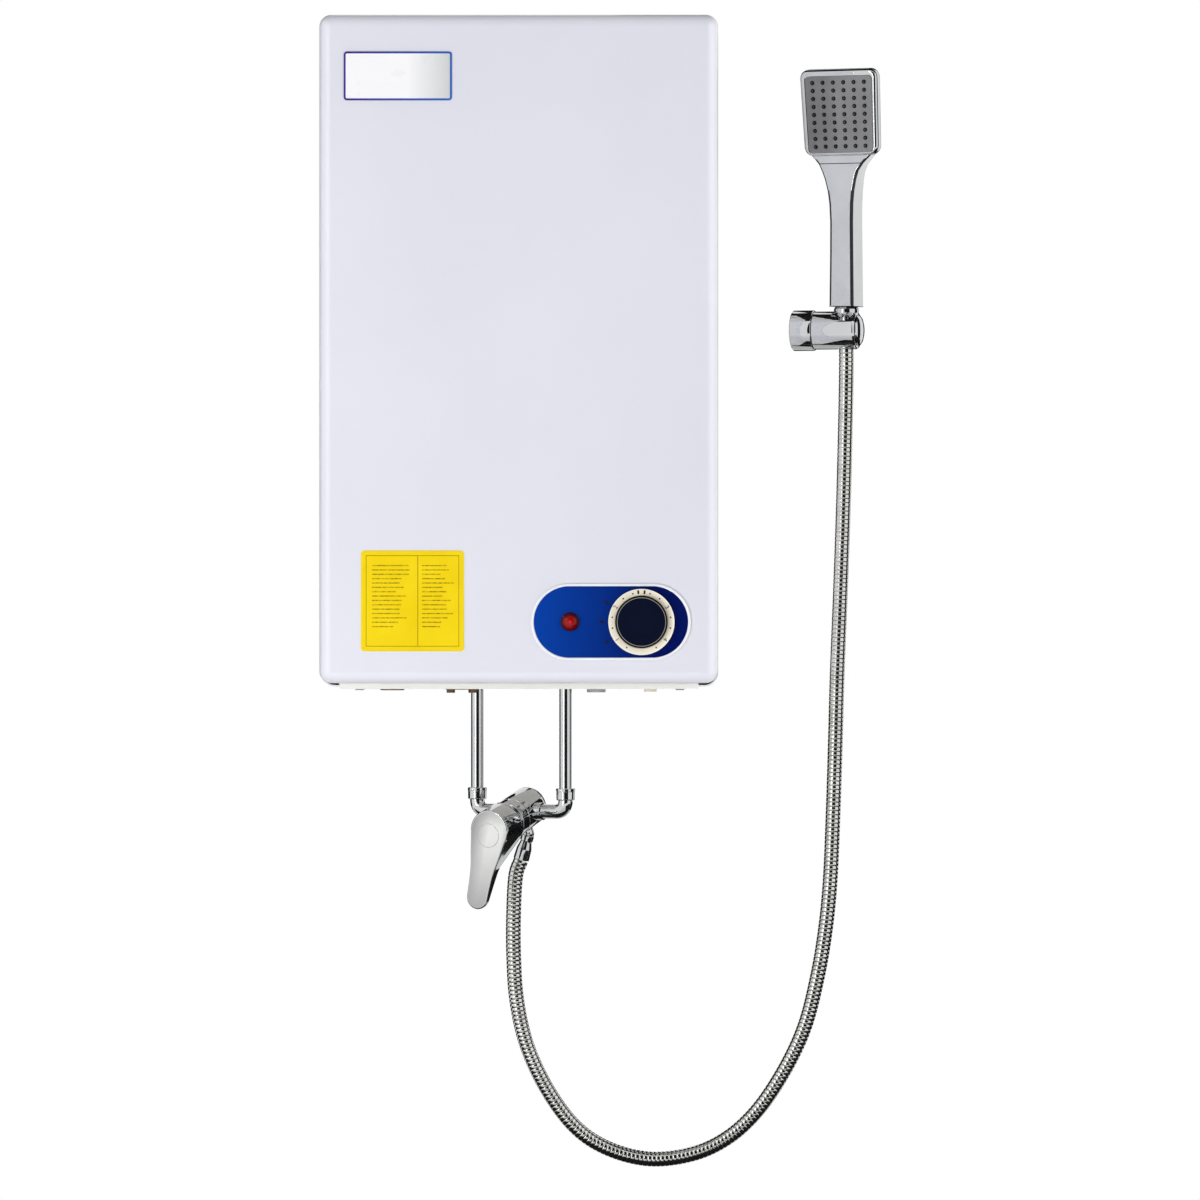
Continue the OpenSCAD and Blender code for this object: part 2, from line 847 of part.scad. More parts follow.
module wire_harness() {
    hole_end = -(casing_gap + sheet + block_t - block_hole + seat_gap);
    clear_y = hole_end - block_hole - 12;
    lead_z = flange_low - flange_hex_t - rod_out - wire_d / 2 - free_gap;
    right = block_x + block_step;
    left = block_x - block_step;
    near = tank_xy[0] - rod_pitch / 2;
    far = tank_xy[0] + rod_pitch / 2;
    reset_end = [reset_x - wire_d * 2, -reset_y + cutout_t / 2, rear_low + cutout_h * 2 / 3];
    thermo_end = [dial_x - wire_out, -(face_in - thermo_t), panel_z - wire_out];
    color([0.55, 0.20, 0.12])
        wire([[right, hole_end, block_z], [right, clear_y, block_z],
            [reset_end[0], clear_y - wire_bow, block_z], reset_end]);
    color([0.15, 0.25, 0.55])
        wire([[left, hole_end, block_z], [left, clear_y, block_z],
            [block_x - block_step / 2, clear_y - wire_lead, block_z + block_h],
            [near, wire_lead - tank_y, lead_z - wire_d], [near, -tank_y, lead_z]]);
    color([0.55, 0.20, 0.12])
        wire([thermo_end, thermo_end + [0, wire_out + block_h, 0],
            [far, -wire_lead - tank_y, lead_z - wire_d], [far, -tank_y, lead_z]]);
}

module cable_gland() {
    neck_d = gland_d - 4 - 2 * seat_gap;
    color([0.62, 0.63, 0.65])
        translate([gland_x, -inlet_y, plate_low]) {
            difference() {
                union() {
                    translate([0, 0, -4])
                        cylinder(d = gland_d, h = 4);
                    cylinder(d = neck_d, h = 16);
                }
                translate([0, 0, -5])
                    cylinder(d = gland_bore_d, h = 30);
            }
            translate([0, 0, plate_t])
                difference() {
                    hex_bar(gland_d + 2, 5);
                    translate([0, 0, -1])
                        cylinder(d = neck_d + 2 * seat_gap, h = 7);
                }
        }
}

module earth_terminal() {
    color(copper)
        translate([-earth_x, -inlet_y, 0])
            difference() {
                translate([-earth_pitch / 2 - 5, -5, plate_low - 1.5])
                    cube([earth_pitch + 10, 10, 1.5]);
                for (s = [-1, 1])
                    translate([s * earth_pitch / 2, 0, plate_low - 2])
                        cylinder(d = screw_d + 2 * seat_gap, h = 3);
            }
    color(black)
        for (s = [-1, 1])
            translate([-earth_x + s * earth_pitch / 2, -inlet_y, plate_low - 4.5]) {
                hex_bar(7, 3);
                cylinder(d = screw_d, h = 14);
            }
}

// Control panel

dial_back = body_d + rim_t + free_gap;
bezel_t = 2;
lens_h = 7;

module panel_rim() {
    color(white)
        translate([panel_x, 0, panel_z])
            off_wall(body_d, rim_t)
                difference() {
                    stadium(panel_w, panel_h);
                    stadium(panel_w - 2 * rim_w, panel_h - 2 * rim_w);
                }
}

module panel_face() {
    inset = 2 * (rim_w + seat_gap);
    color([0.02, 0.20, 0.58])
        off_wall(body_d, panel_t)
            difference() {
                translate([panel_x, panel_z])
                    stadium(panel_w - inset, panel_h - inset);
                translate([dial_x, panel_z])
                    circle(d = shaft_d + 4);
                translate([lamp_x, panel_z])
                    circle(d = lamp_d - 4);
            }
}

module lamp_body() {
    neck_d = lamp_d - 4 - 2 * seat_gap;
    color(black)
        translate([lamp_x, 0, panel_z]) {
            off_wall(face_in - 24, 24 + sheet + panel_t)
                circle(d = neck_d);
            off_wall(face_in - 4 - free_gap, 4)
                circle(d = lamp_d + 2);
        }
}

module lamp_lens() {
    r = lamp_d / 2;
    color([0.80, 0.05, 0.06])
        translate([lamp_x, -(body_d + panel_t), panel_z])
            rotate([90, 0, 0])
                rotate_extrude()
                    polygon(concat([[0, 0], [r, 0], [r, bezel_t - 0.5], [r - 0.5, bezel_t],
                        [r - 1.5, bezel_t]],
                        [for (t = [15:15:90]) [(r - 1.5) * cos(t), bezel_t + (lens_h - bezel_t) * sin(t)]]));
}

module dial_ring() {
    in = dial_cap_d / 2 + seat_gap;
    out = dial_d / 2;
    color([0.86, 0.82, 0.72])
        translate([dial_x, -dial_back, panel_z])
            rotate([90, 0, 0])
                rotate_extrude()
                    polygon([[in, 0], [out, 0], [out, dial_ring_t - 3], [out - 1.5, dial_ring_t - 1],
                        [in + 2, dial_ring_t], [in, dial_ring_t]]);
}

module dial_cap() {
    r = dial_cap_d / 2;
    color([0.05, 0.06, 0.13])
        translate([dial_x, -dial_back, panel_z])
            rotate([90, 0, 0])
                difference() {
                    rotate_extrude()
                        polygon([[0, 0], [r, 0], [r, dial_cap_t - 1.5], [r - 1.5, dial_cap_t],
                            [0, dial_cap_t]]);
                    translate([0, 0, -1])
                        cylinder(d = shaft_d + 2 * seat_gap, h = dial_cap_t - 3);
                }
}

module dial_shaft() {
    color(steel)
        translate([dial_x, 0, panel_z])
            off_wall(shaft_back, dial_back + dial_cap_t - 5 - shaft_back)
                circle(d = shaft_d);
}

// Pipes and mixer

module pipe(at) {
    color(chrome)
        translate([at[0], at[1], pipe_low])
            tube(pipe_d, pipe_d - 2 * pipe_wall, pipe_top - pipe_low);
}

module cold_pipe() {
    pipe(cold_xy);
}

module hot_pipe() {
    pipe(hot_xy);
}

module pipe_nuts() {
    color(chrome)
        for (at = [cold_xy, hot_xy])
            translate([at[0], at[1], nut_low])
                difference() {
                    hex_bar(nut_af, nut_len);
                    translate([0, 0, -1])
                        cylinder(d = elbow_d + 2 * seat_gap, h = nut_len / 2 + 1);
                    cylinder(d = pipe_d + 2 * seat_gap, h = nut_len + 1);
                }
}

// Elbow whose leg runs along +X from a pipe's axis, with the pipe's stub along +Z
module elbow_form(d, reach) {
    translate([bend_r, 0, 0])
        rotate([0, 90, 0])
            cylinder(d = d, h = reach - bend_r);
    translate([0, 0, bend_r])
        cylinder(d = d, h = pipe_low - mixer_z - bend_r);
    translate([bend_r, 0, bend_r])
        rotate([90, 0, 0])
            rotate([0, 0, 180])
                rotate_extrude(angle = 90)
                    translate([bend_r, 0])
                        circle(d = d);
}

boss_len = mixer_dia / 2 + 6;
leg_reach = pipe_pitch / 2 - boss_len;

module inlet_elbows() {
    color(chrome)
        for (s = [-1, 1])
            translate(mixer_pos)
                rotate([0, 0, -mixer_yaw])
                    translate([s * pipe_pitch / 2, 0, 0])
                        mirror([s > 0 ? 1 : 0, 0, 0])
                            difference() {
                                elbow_form(elbow_d, leg_reach);
                                elbow_form(elbow_d - 4, leg_reach);
                            }
}

// Frame with Z along the mixer's axis towards the lever, X along the pipes and Y upwards
module at_mixer() {
    translate(mixer_pos)
        rotate([90 + mixer_pitch, 0, -mixer_yaw])
            children();
}

axis_dir = [-sin(mixer_yaw) * cos(mixer_pitch), -cos(mixer_yaw) * cos(mixer_pitch), -sin(mixer_pitch)];
down_dir = cross(pipe_dir, axis_dir);
outlet_pos = mixer_pos + outlet_at * axis_dir + outlet_drop * down_dir;
nut_start = 7;
spigot_d = 13;
spigot_len = 16;
hose_start = hose_route[0];
spigot_dir = (hose_start - outlet_pos) / norm(hose_start - outlet_pos);
cartridge_d = 31;
cartridge_low = 5;
neck_d = 25.6;

module mixer_body() {
    color(chrome)
        difference() {
            union() {
                at_mixer() {
                    translate([0, 0, rear_seam])
                        cylinder(d = mixer_dia, h = collar_seam - rear_seam);
                    translate([-boss_len, 0, 0])
                        rotate([0, 90, 0])
                            cylinder(d = elbow_d + 3, h = 2 * boss_len);
                    translate([0, 0, outlet_at])
                        rotate([90, 0, 0])
                            cylinder(d = elbow_d + 3, h = outlet_drop);
                }
                translate(outlet_pos)
                    sphere(d = elbow_d + 4);
                bar(outlet_pos, outlet_pos + nut_start * spigot_dir, elbow_d + 3.5);
                bar(outlet_pos, outlet_pos + spigot_len * spigot_dir, spigot_d);
            }
            at_mixer() {
                translate([0, 0, cartridge_low])
                    cylinder(d = cartridge_d + 2 * seat_gap, h = collar_seam);
                for (s = [-1, 1])
                    translate([s * cartridge_d / 4, 0, 0])
                        rotate([0, s * 90, 0])
                            cylinder(d = elbow_d - 5, h = mixer_dia);
            }
            bar(outlet_pos, outlet_pos + (spigot_len + 1) * spigot_dir, spigot_d - 5);
        }
}

module rear_cap() {
    r = mixer_dia / 2;
    color(chrome)
        at_mixer()
            translate([0, 0, rear_seam])
                rotate_extrude()
                    polygon(concat([[0, 0], [r - 0.6, 0], [r, -0.6]],
                        [for (t = [15:15:90]) [r * cos(t), -0.6 - (rear_dome - 0.6) * sin(t)]]));
}

module cartridge() {
    color([0.75, 0.72, 0.66])
        at_mixer()
            difference() {
                union() {
                    translate([0, 0, cartridge_low])
                        cylinder(d = cartridge_d, h = collar_seam - cartridge_low);
                    translate([0, 0, collar_seam])
                        cylinder(d = neck_d, h = pivot_at - collar_seam - 3);
                }
                translate([0, 0, carrier_low - run_gap])
                    cylinder(d = carrier_d + 2 * run_gap, h = pivot_at);
            }
}

module bonnet() {
    hole_r = 12;
    top = pivot_at + sqrt(bonnet_r * bonnet_r - (hole_r + 1.5) * (hole_r + 1.5));
    color(chrome)
        at_mixer()
            difference() {
                union() {
                    translate([0, 0, collar_seam])
                        cylinder(d = mixer_dia, h = collar_end - collar_seam);
                    intersection() {
                        translate([0, 0, pivot_at])
                            sphere(r = bonnet_r);
                        translate([0, 0, collar_end - 1])
                            cylinder(r = mixer_dia, h = top - collar_end + 1);
                    }
                }
                translate([0, 0, collar_seam - 1])
                    cylinder(d = neck_d + 2 * seat_gap, h = pivot_at - collar_seam + 7);
                translate([0, 0, collar_seam - 1])
                    cylinder(r = hole_r, h = mixer_dia);
            }
}

// Frame at the lever's cross pin, with X along the pin and -Y towards the lever's tip
module at_lever() {
    at_mixer()
        translate([0, 0, pivot_at])
            rotate([0, 0, -lever_rest])
                children();
}

module cartridge_carrier() {
    color([0.88, 0.88, 0.86])
        at_lever()
            difference() {
                translate([0, 0, carrier_low - pivot_at])
                    cylinder(d = carrier_d, h = carrier_top - carrier_low);
                translate([-stem_w / 2 - free_gap, -carrier_d, carrier_low - pivot_at + 3])
                    cube([stem_w + 2 * free_gap, 2 * carrier_d, carrier_top]);
                translate([-carrier_d, 0, 0])
                    rotate([0, 90, 0])
                        cylinder(d = pin_d + 2 * seat_gap, h = 2 * carrier_d);
            }
}

module stem_pin() {
    color(steel)
        at_lever()
            translate([-carrier_d / 2 + 1, 0, 0])
                rotate([0, 90, 0])
                    cylinder(d = pin_d, h = carrier_d - 2);
}

module lever_stem() {
    low = 4;
    color(brass)
        at_lever()
            difference() {
                translate([-stem_w / 2, -stem_l / 2, -low])
                    cube([stem_w, stem_l, stem_top - pivot_at + low]);
                translate([-stem_w, 0, 0])
                    rotate([0, 90, 0])
                        cylinder(d = pin_d + 2 * run_gap, h = 2 * stem_w);
            }
}

screw_at = stem_top - pivot_at - 2.5;
cap_sink = 1.5;
cap_proud = 0.3;
waist_at = 30;
waist_t = 12;
tip_t = 7;
face_edge = 2;

// Frame on the lever's sloped face, at the mixer's axis, with Y along the slope towards the round head
module at_face() {
    at_lever()
        translate([0, 0, handle_face - pivot_at])
            rotate([-lever_slope, 0, 0])
                children();
}

// Disc under the lever's face with a chamfered upper edge
module face_disc(y, d, t) {
    at_face() {
        translate([0, y, -t])
            cylinder(d = d, h = t - face_edge, $fn = 40);
        translate([0, y, -t])
            cylinder(d = d - 2 * face_edge, h = t, $fn = 40);
    }
}

module lever_handle() {
    tip_y = lever_tip_w / 2 - lever_len;
    color(chrome)
        difference() {
            union() {
                hull() {
                    at_lever()
                        cylinder(d = skirt_d, h = skirt_h, $fn = 48);
                    face_disc(lever_rise, lever_d, 2 * face_edge);
                    face_disc(-waist_at, lever_waist_w, waist_t);
                }
                hull() {
                    face_disc(-waist_at, lever_waist_w, waist_t);
                    face_disc(tip_y, lever_tip_w, tip_t);
                }
            }
            at_lever() {
                sphere(r = hollow_r);
                translate([-stem_w / 2 - seat_gap, -stem_l / 2 - seat_gap, 0])
                    cube([stem_w + 2 * seat_gap, stem_l + 2 * seat_gap, stem_top - pivot_at + seat_gap]);
                translate([0, stem_l / 2, screw_at])
                    rotate([-90, 0, 0])
                        cylinder(d = 4, h = skirt_d);
            }
            at_face()
                translate([0, 0, -cap_sink])
                    cylinder(d = lever_cap_d + 2 * seat_gap, h = 2 * cap_sink);
        }
}

module lever_cap() {
    color(chrome)
        at_face()
            translate([0, 0, -cap_sink])
                cylinder(d = lever_cap_d, h = cap_sink + cap_proud);
}

module lever_screw() {
    color(steel)
        at_lever()
            translate([0, stem_l / 2 + seat_gap, screw_at])
                rotate([-90, 0, 0])
                    difference() {
                        cylinder(d = 4 - 2 * seat_gap, h = 8);
                        translate([0, 0, 5])
                            cylinder(d = 2.3, h = 4, $fn = 6);
                    }
}

module hose_nut() {
    lean = hose_d / 2 * norm(cross(spigot_dir, hose_dir(0)));
    run = norm(hose_start - outlet_pos) - nut_start - 2 * free_gap - lean;
    top_r = spigot_d / 2 + 4;
    low_r = hose_d / 2 + 1;
    bore_r = spigot_d / 2 + seat_gap;
    color(chrome)
        along(outlet_pos + (nut_start + free_gap) * spigot_dir, hose_start)
            rotate_extrude()
                polygon([[bore_r, 0], [top_r - 1, 0], [top_r, 1], [top_r, 6],
                    [low_r, run - 1], [low_r - 1, run],
                    [hose_bore_d / 2, run], [hose_bore_d / 2, spigot_len - nut_start + 1],
                    [bore_r, spigot_len - nut_start + 1]]);
}

// Hose

curve_steps = 8;
hose_sides = 8;
bore_every = 4;

function unit(v) = v / norm(v);

// Point at t between the points i and i + 1 of a smooth curve through p
function curve_point(p, i, t) =
    let (b = p[i], c = p[i + 1], a = i > 0 ? p[i - 1] : 2 * b - c, d = i + 2 < len(p) ? p[i + 2] : 2 * c - b)
    (2 * b + (c - a) * t + (2 * a - 5 * b + 4 * c - d) * t * t + (3 * b - a - 3 * c + d) * t * t * t) / 2;

function curve_points(p) =
    concat([for (i = [0:len(p) - 2], j = [0:curve_steps - 1]) curve_point(p, i, j / curve_steps)],
        [p[len(p) - 1]]);

function run_lengths(p) =
    [for (i = 0, s = 0; i < len(p); s = s + (i + 1 < len(p) ? norm(p[i + 1] - p[i]) : 0), i = i + 1) s];

hose_curve = curve_points(hose_route);
hose_runs = run_lengths(hose_curve);
hose_len = hose_runs[len(hose_runs) - 1];
hose_tables = [for (k = [0:2]) [for (i = [0:len(hose_curve) - 1]) [hose_runs[i], hose_curve[i][k]]]];
rib_pitch = hose_len / rib_count;

function hose_at(s) = [for (k = [0:2]) lookup(s, hose_tables[k])];
function hose_dir(s) = unit(hose_at(min(s + 2, hose_len)) - hose_at(max(s - 2, 0)));

function hose_ring(s, r) =
    let (c = hose_at(s), t = hose_dir(s), u = unit(cross(t, [0, 1, 0])), v = cross(u, t))
    [for (i = [0:hose_sides - 1]) c + r * (cos(360 * i / hose_sides) * u + sin(360 * i / hose_sides) * v)];

// Triangles between two rings that start at the points a and b
function band(a, b) =
    [for (i = [0:hose_sides - 1])
        let (j = (i + 1) % hose_sides)
        each [[a + i, a + j, b + j], [a + i, b + j, b + i]]];

// Ribbed tube with a bore, from one rib to another
module ribbed_tube(first, last) {
    root_r = hose_d / 2 - rib_depth;
    outer = concat([for (i = [first:last - 1]) each [hose_ring(i * rib_pitch, root_r),
        hose_ring((i + 0.5) * rib_pitch, hose_d / 2)]], [hose_ring(last * rib_pitch, root_r)]);
    bands = ceil((last - first) / bore_every);
    inner = [for (i = [0:bands])
        hose_ring((first + (last - first) * i / bands) * rib_pitch, hose_bore_d / 2)];
    n = len(outer) * hose_sides;
    faces = concat([for (i = [0:len(outer) - 2]) each band(i * hose_sides, (i + 1) * hose_sides)],
        [for (i = [0:bands - 1]) each band(n + (i + 1) * hose_sides, n + i * hose_sides)],
        band(n, 0),
        band((len(outer) - 1) * hose_sides, n + bands * hose_sides));
    polyhedron([for (ring = concat(outer, inner)) each ring], faces, convexity = 6);
}

module hose_lower() {
    color(chrome)
        ribbed_tube(0, rib_count - upper_ribs);
}

module hose_upper() {
    color(chrome)
        ribbed_tube(rib_count - upper_ribs, rib_count);
}

// Holder on the wall

foot_reach = -foot_xy[1] + 4;
stem_d = 18;
axle_len = 12;
grub_d = 4;
grub_sink = 4;

// Frame at the holder's socket, with X along the barrel towards its free end
module at_barrel() {
    translate(socket_pos)
        rotate([0, 0, -barrel_yaw])
            children();
}

module barrel_rod(from, to, d) {
    at_barrel()
        translate([from, 0, 0])
            rotate([0, 90, 0])
                cylinder(d = d, h = to - from);
}

module holder_foot() {
    color(chrome)
        difference() {
            translate([foot_xy[0], 0, socket_z]) {
                off_wall(0, foot_t)
                    circle(d = foot_d);
                off_wall(foot_t, foot_reach - foot_t)
                    circle(d = foot_spigot_d);
            }
            for (s = [-1, 1])
                translate([foot_xy[0], 0, socket_z + s * foot_pitch / 2])
                    off_wall(-1, foot_t + 2)
                        circle(d = foot_hole_d);
        }
}

module base_barrel() {
    color(chrome)
        difference() {
            union() {
                barrel_rod(-base_dx - base_len, -base_dx, base_d);
                barrel_rod(-base_dx - 1, -base_dx + axle_len, axle_d);
                translate([foot_xy[0], 0, socket_z])
                    off_wall(foot_t, -foot_xy[1] - foot_t)
                        circle(d = stem_d);
            }
            translate([foot_xy[0], 0, socket_z])
                off_wall(foot_t - 1, foot_reach - foot_t + 1 + seat_gap)
                    circle(d = foot_spigot_d + 2 * seat_gap);
            translate([foot_xy[0], foot_xy[1], socket_z])
                cylinder(d = grub_d + 2 * seat_gap, h = base_d);
        }
}

module grub_screw() {
    low = foot_spigot_d / 2 + seat_gap;
    h = base_d / 2 - grub_sink - low;
    color(steel)
        translate([foot_xy[0], foot_xy[1], socket_z + low])
            difference() {
                cylinder(d = grub_d, h = h);
                translate([0, 0, h - 2])
                    cylinder(d = 2.3, h = 3, $fn = 6);
            }
}

module swivel_barrel() {
    color(chrome)
        difference() {
            barrel_rod(-base_dx + free_gap, barrel_end, barrel_d);
            barrel_rod(-base_dx, -base_dx + axle_len + free_gap, axle_d + 2 * run_gap);
            translate([socket_x, -socket_d, cone_low])
                cylinder(r1 = cone_low_d / 2 + free_gap, r2 = cone_top_d / 2 + free_gap, h = cone_len);
            translate([socket_x, -socket_d, cone_low - 5])
                cylinder(r = cone_low_d / 2 + free_gap, h = 5 + eps);
            at_barrel()
                translate([-slot_w / 2, 0, -barrel_d])
                    cube([slot_w, barrel_d, 2 * barrel_d]);
        }
}

module holder_cap() {
    r = barrel_d / 2 - 2;
    color(chrome)
        at_barrel()
            translate([barrel_end, 0, 0])
                rotate([0, 90, 0])
                    rotate_extrude()
                        polygon(concat([[0, 0], [r, 0], [r, 0.8]],
                            [for (t = [15:15:90]) [r * cos(t), 0.8 + (cap_h - 0.8) * sin(t)]]));
}

module cone_nut() {
    low_r = cone_low_d / 2;
    top_r = cone_top_d / 2;
    bore_r = thread_d / 2 + run_gap;
    color(chrome)
        translate([socket_x, -socket_d, cone_low])
            rotate_extrude()
                polygon([[hose_bore_d / 2, 0], [low_r, 0], [top_r, cone_len], [bore_r, cone_len],
                    [bore_r, cone_len - thread_len - 1], [hose_bore_d / 2, cone_len - thread_len - 1]]);
}

// Hand shower

face_w = head_w - 2 * face_rim;
face_h = head_h - 2 * face_rim;
mat_t = 1.2;
nozzle_out = 1;
grip_r = 3.5;
mid_drop = 66;
head_y = -head_dy - head_t / 2;

// Frame at the handle's lower end, with -Y towards the spray side
module at_hand() {
    translate([socket_x, -socket_d, hand_z])
        rotate([0, 0, -hand_yaw])
            children();
}

// Slices of the handle from its lower end to the head: height, width, depth and place in depth
grip_slices = [
    [0, handle_w, handle_d, 0],
    [handle_len - mid_drop, handle_w - 1.4, handle_d - 3, 0],
    [handle_len - 36, handle_w + 3.4, handle_d - 7, -3],
    [handle_len - 17, handle_w + 13, head_t + 2, -7],
    [handle_len - 6, head_w - 24, head_t - 1, -head_dy],
    [handle_len + 1, head_w - 6, head_t - 2, -head_dy]
];

module grip_slice(s) {
    translate([0, s[3], s[0]])
        linear_extrude(1)
            rounded_rect(s[1], s[2], grip_r, 4);
}

// Frame of the head, which leans about the middle of its lower edge
module at_head() {
    at_hand()
        translate([0, -head_dy, handle_len])
            rotate([head_lean, 0, 0])
                translate([0, head_dy, -handle_len])
                    children();
}

module head_slab(inset, depth) {
    translate([0, -head_dy + depth / 2, handle_len + head_h / 2])
        off_wall(0, depth)
            rounded_rect(head_w - 2 * inset, head_h - 2 * inset, head_r - inset, 5);
}

module face_outline(gap) {
    translate([0, handle_len + head_h / 2])
        rounded_rect(face_w - 2 * gap, face_h - 2 * gap, head_r - face_rim / 2, 5);
}

module nozzle_spots() {
    for (i = [0:nozzle_cols - 1], j = [0:nozzle_rows - 1])
        translate([(i - (nozzle_cols - 1) / 2) * nozzle_dx,
                handle_len + head_h / 2 + (j - (nozzle_rows - 1) / 2) * nozzle_dz])
            children();
}

module handset_shell() {
    mid_z = handle_len - mid_drop;
    color(chrome)
        difference() {
            union() {
                at_hand() {
                    for (i = [0:len(grip_slices) - 2])
                        hull() {
                            grip_slice(grip_slices[i]);
                            grip_slice(grip_slices[i + 1]);
                        }
                    translate([0, 0, -thread_len])
                        cylinder(d = thread_d, h = thread_len + 2);
                }
                at_head()
                    hull() {
                        head_slab(0, head_t - 4);
                        head_slab(2, head_t);
                    }
            }
            at_head() {
                translate([0, head_y + face_t + mat_t + 6, 0])
                    off_wall(0, head_t)
                        face_outline(2);
                translate([0, head_y + face_t + mat_t, 0])
                    off_wall(0, head_t)
                        face_outline(0);
            }
            at_hand() {
                bar([0, 0, -thread_len - 1], [0, 0, mid_z], hose_bore_d);
                bar([0, 0, mid_z - 2], [0, -head_dy, handle_len + head_h / 4], hose_bore_d - 1);
            }
        }
}

module face_plate() {
    color([0.52, 0.52, 0.53])
        at_head()
            translate([0, head_y + face_t, 0])
                off_wall(0, face_t)
                    difference() {
                        face_outline(seat_gap);
                        nozzle_spots()
                            circle(d = nozzle_d + 2 * seat_gap);
                    }
}

module spray_nozzles() {
    color([0.25, 0.25, 0.26])
        at_head()
            translate([0, head_y + face_t + mat_t, 0])
                difference() {
                    union() {
                        off_wall(0, mat_t)
                            face_outline(1);
                        off_wall(0, mat_t + face_t + nozzle_out)
                            nozzle_spots()
                                circle(d = nozzle_d);
                    }
                    off_wall(-1, mat_t + face_t + nozzle_out + 2)
                        nozzle_spots()
                            circle(d = 1.4);
                }
}

wall_rails();
rear_casing();
front_cover();
bottom_plate();
casing_screws();
badge_plate();
instruction_card();
tank_left();
tank_right();
link_tubes();
foam_rear();
foam_front();
element_rod();
element_flange();
flange_gasket();
anode_rod();
cold_inlet();
cold_branch();
hot_tube();
thermostat();
sensor_bulb();
cutout();
reset_button();
terminal_block();
wire_harness();
cable_gland();
earth_terminal();
panel_rim();
panel_face();
lamp_body();
lamp_lens();
dial_ring();
dial_cap();
dial_shaft();
cold_pipe();
hot_pipe();
pipe_nuts();
inlet_elbows();
mixer_body();
rear_cap();
cartridge();
bonnet();
cartridge_carrier();
stem_pin();
lever_stem();
lever_handle();
lever_cap();
lever_screw();
hose_nut();
hose_lower();
hose_upper();
holder_foot();
base_barrel();
grub_screw();
swivel_barrel();
holder_cap();
cone_nut();
handset_shell();
face_plate();
spray_nozzles();
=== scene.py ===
# Wall-hung storage water heater with mixer, hose, holder and hand shower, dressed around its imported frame.
# Pieces are modelled in millimetres where the frame has them, and scaled to metres when they are finished.
import math

import bmesh
import bpy
from mathutils import Matrix, Vector


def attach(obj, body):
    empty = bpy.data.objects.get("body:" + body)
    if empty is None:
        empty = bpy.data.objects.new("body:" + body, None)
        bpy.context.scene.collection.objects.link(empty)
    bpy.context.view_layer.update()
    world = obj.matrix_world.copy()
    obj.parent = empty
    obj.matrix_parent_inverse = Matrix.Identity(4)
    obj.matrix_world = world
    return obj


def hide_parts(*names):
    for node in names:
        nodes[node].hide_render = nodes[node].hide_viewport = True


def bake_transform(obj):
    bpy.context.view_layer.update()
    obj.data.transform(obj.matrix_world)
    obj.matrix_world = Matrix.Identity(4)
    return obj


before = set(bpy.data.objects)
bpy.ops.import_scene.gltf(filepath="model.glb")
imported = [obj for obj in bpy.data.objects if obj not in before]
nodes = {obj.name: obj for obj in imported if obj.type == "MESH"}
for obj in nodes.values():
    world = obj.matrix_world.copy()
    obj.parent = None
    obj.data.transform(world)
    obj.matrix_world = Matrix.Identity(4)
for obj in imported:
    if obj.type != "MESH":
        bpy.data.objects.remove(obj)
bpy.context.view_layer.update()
scene = bpy.context.scene
scene.view_settings.view_transform = "Standard"
millimetre = 0.001
fullTurn = 2 * math.pi
mergeWithin = 2e-4
coverFront = -225.0
print("frame loaded:", len(nodes), "nodes")


def moved(x, y, z):
    return Matrix.Translation((x, y, z))


def turned(degrees, axis):
    return Matrix.Rotation(math.radians(degrees), 4, axis)


# frames of the parts that stand at an angle
mixerFrame = moved(1.5, -110, -442) @ turned(-31, "Z") @ turned(110, "X")   # Z from rear cap to lever, Y up
leverFrame = mixerFrame @ moved(0, 0, 36) @ turned(-15, "Z")   # -Y runs to the lever's tip
leverFace = leverFrame @ moved(0, 0, 29) @ turned(-15, "X")   # on the lever's sloped face
barrelFrame = moved(317, -60, 24) @ turned(-15, "Z")   # X along the holder's barrel
barrelTurn = barrelFrame @ turned(90, "Y")   # Z along the holder's barrel
handFrame = moved(317, -60, 47) @ turned(-24, "Z")   # -Y is the spray side
headFrame = handFrame @ moved(0, -10, 148) @ turned(6.5, "X")   # foot of the leaning spray head
faceFrame = turned(90, "X")   # Z towards the room, Y up


# Materials

def tone(red, green, blue):
    def linear(c):
        c = c / 255
        return c / 12.92 if c <= 0.04045 else ((c + 0.055) / 1.055) ** 2.4
    return (linear(red), linear(green), linear(blue), 1)


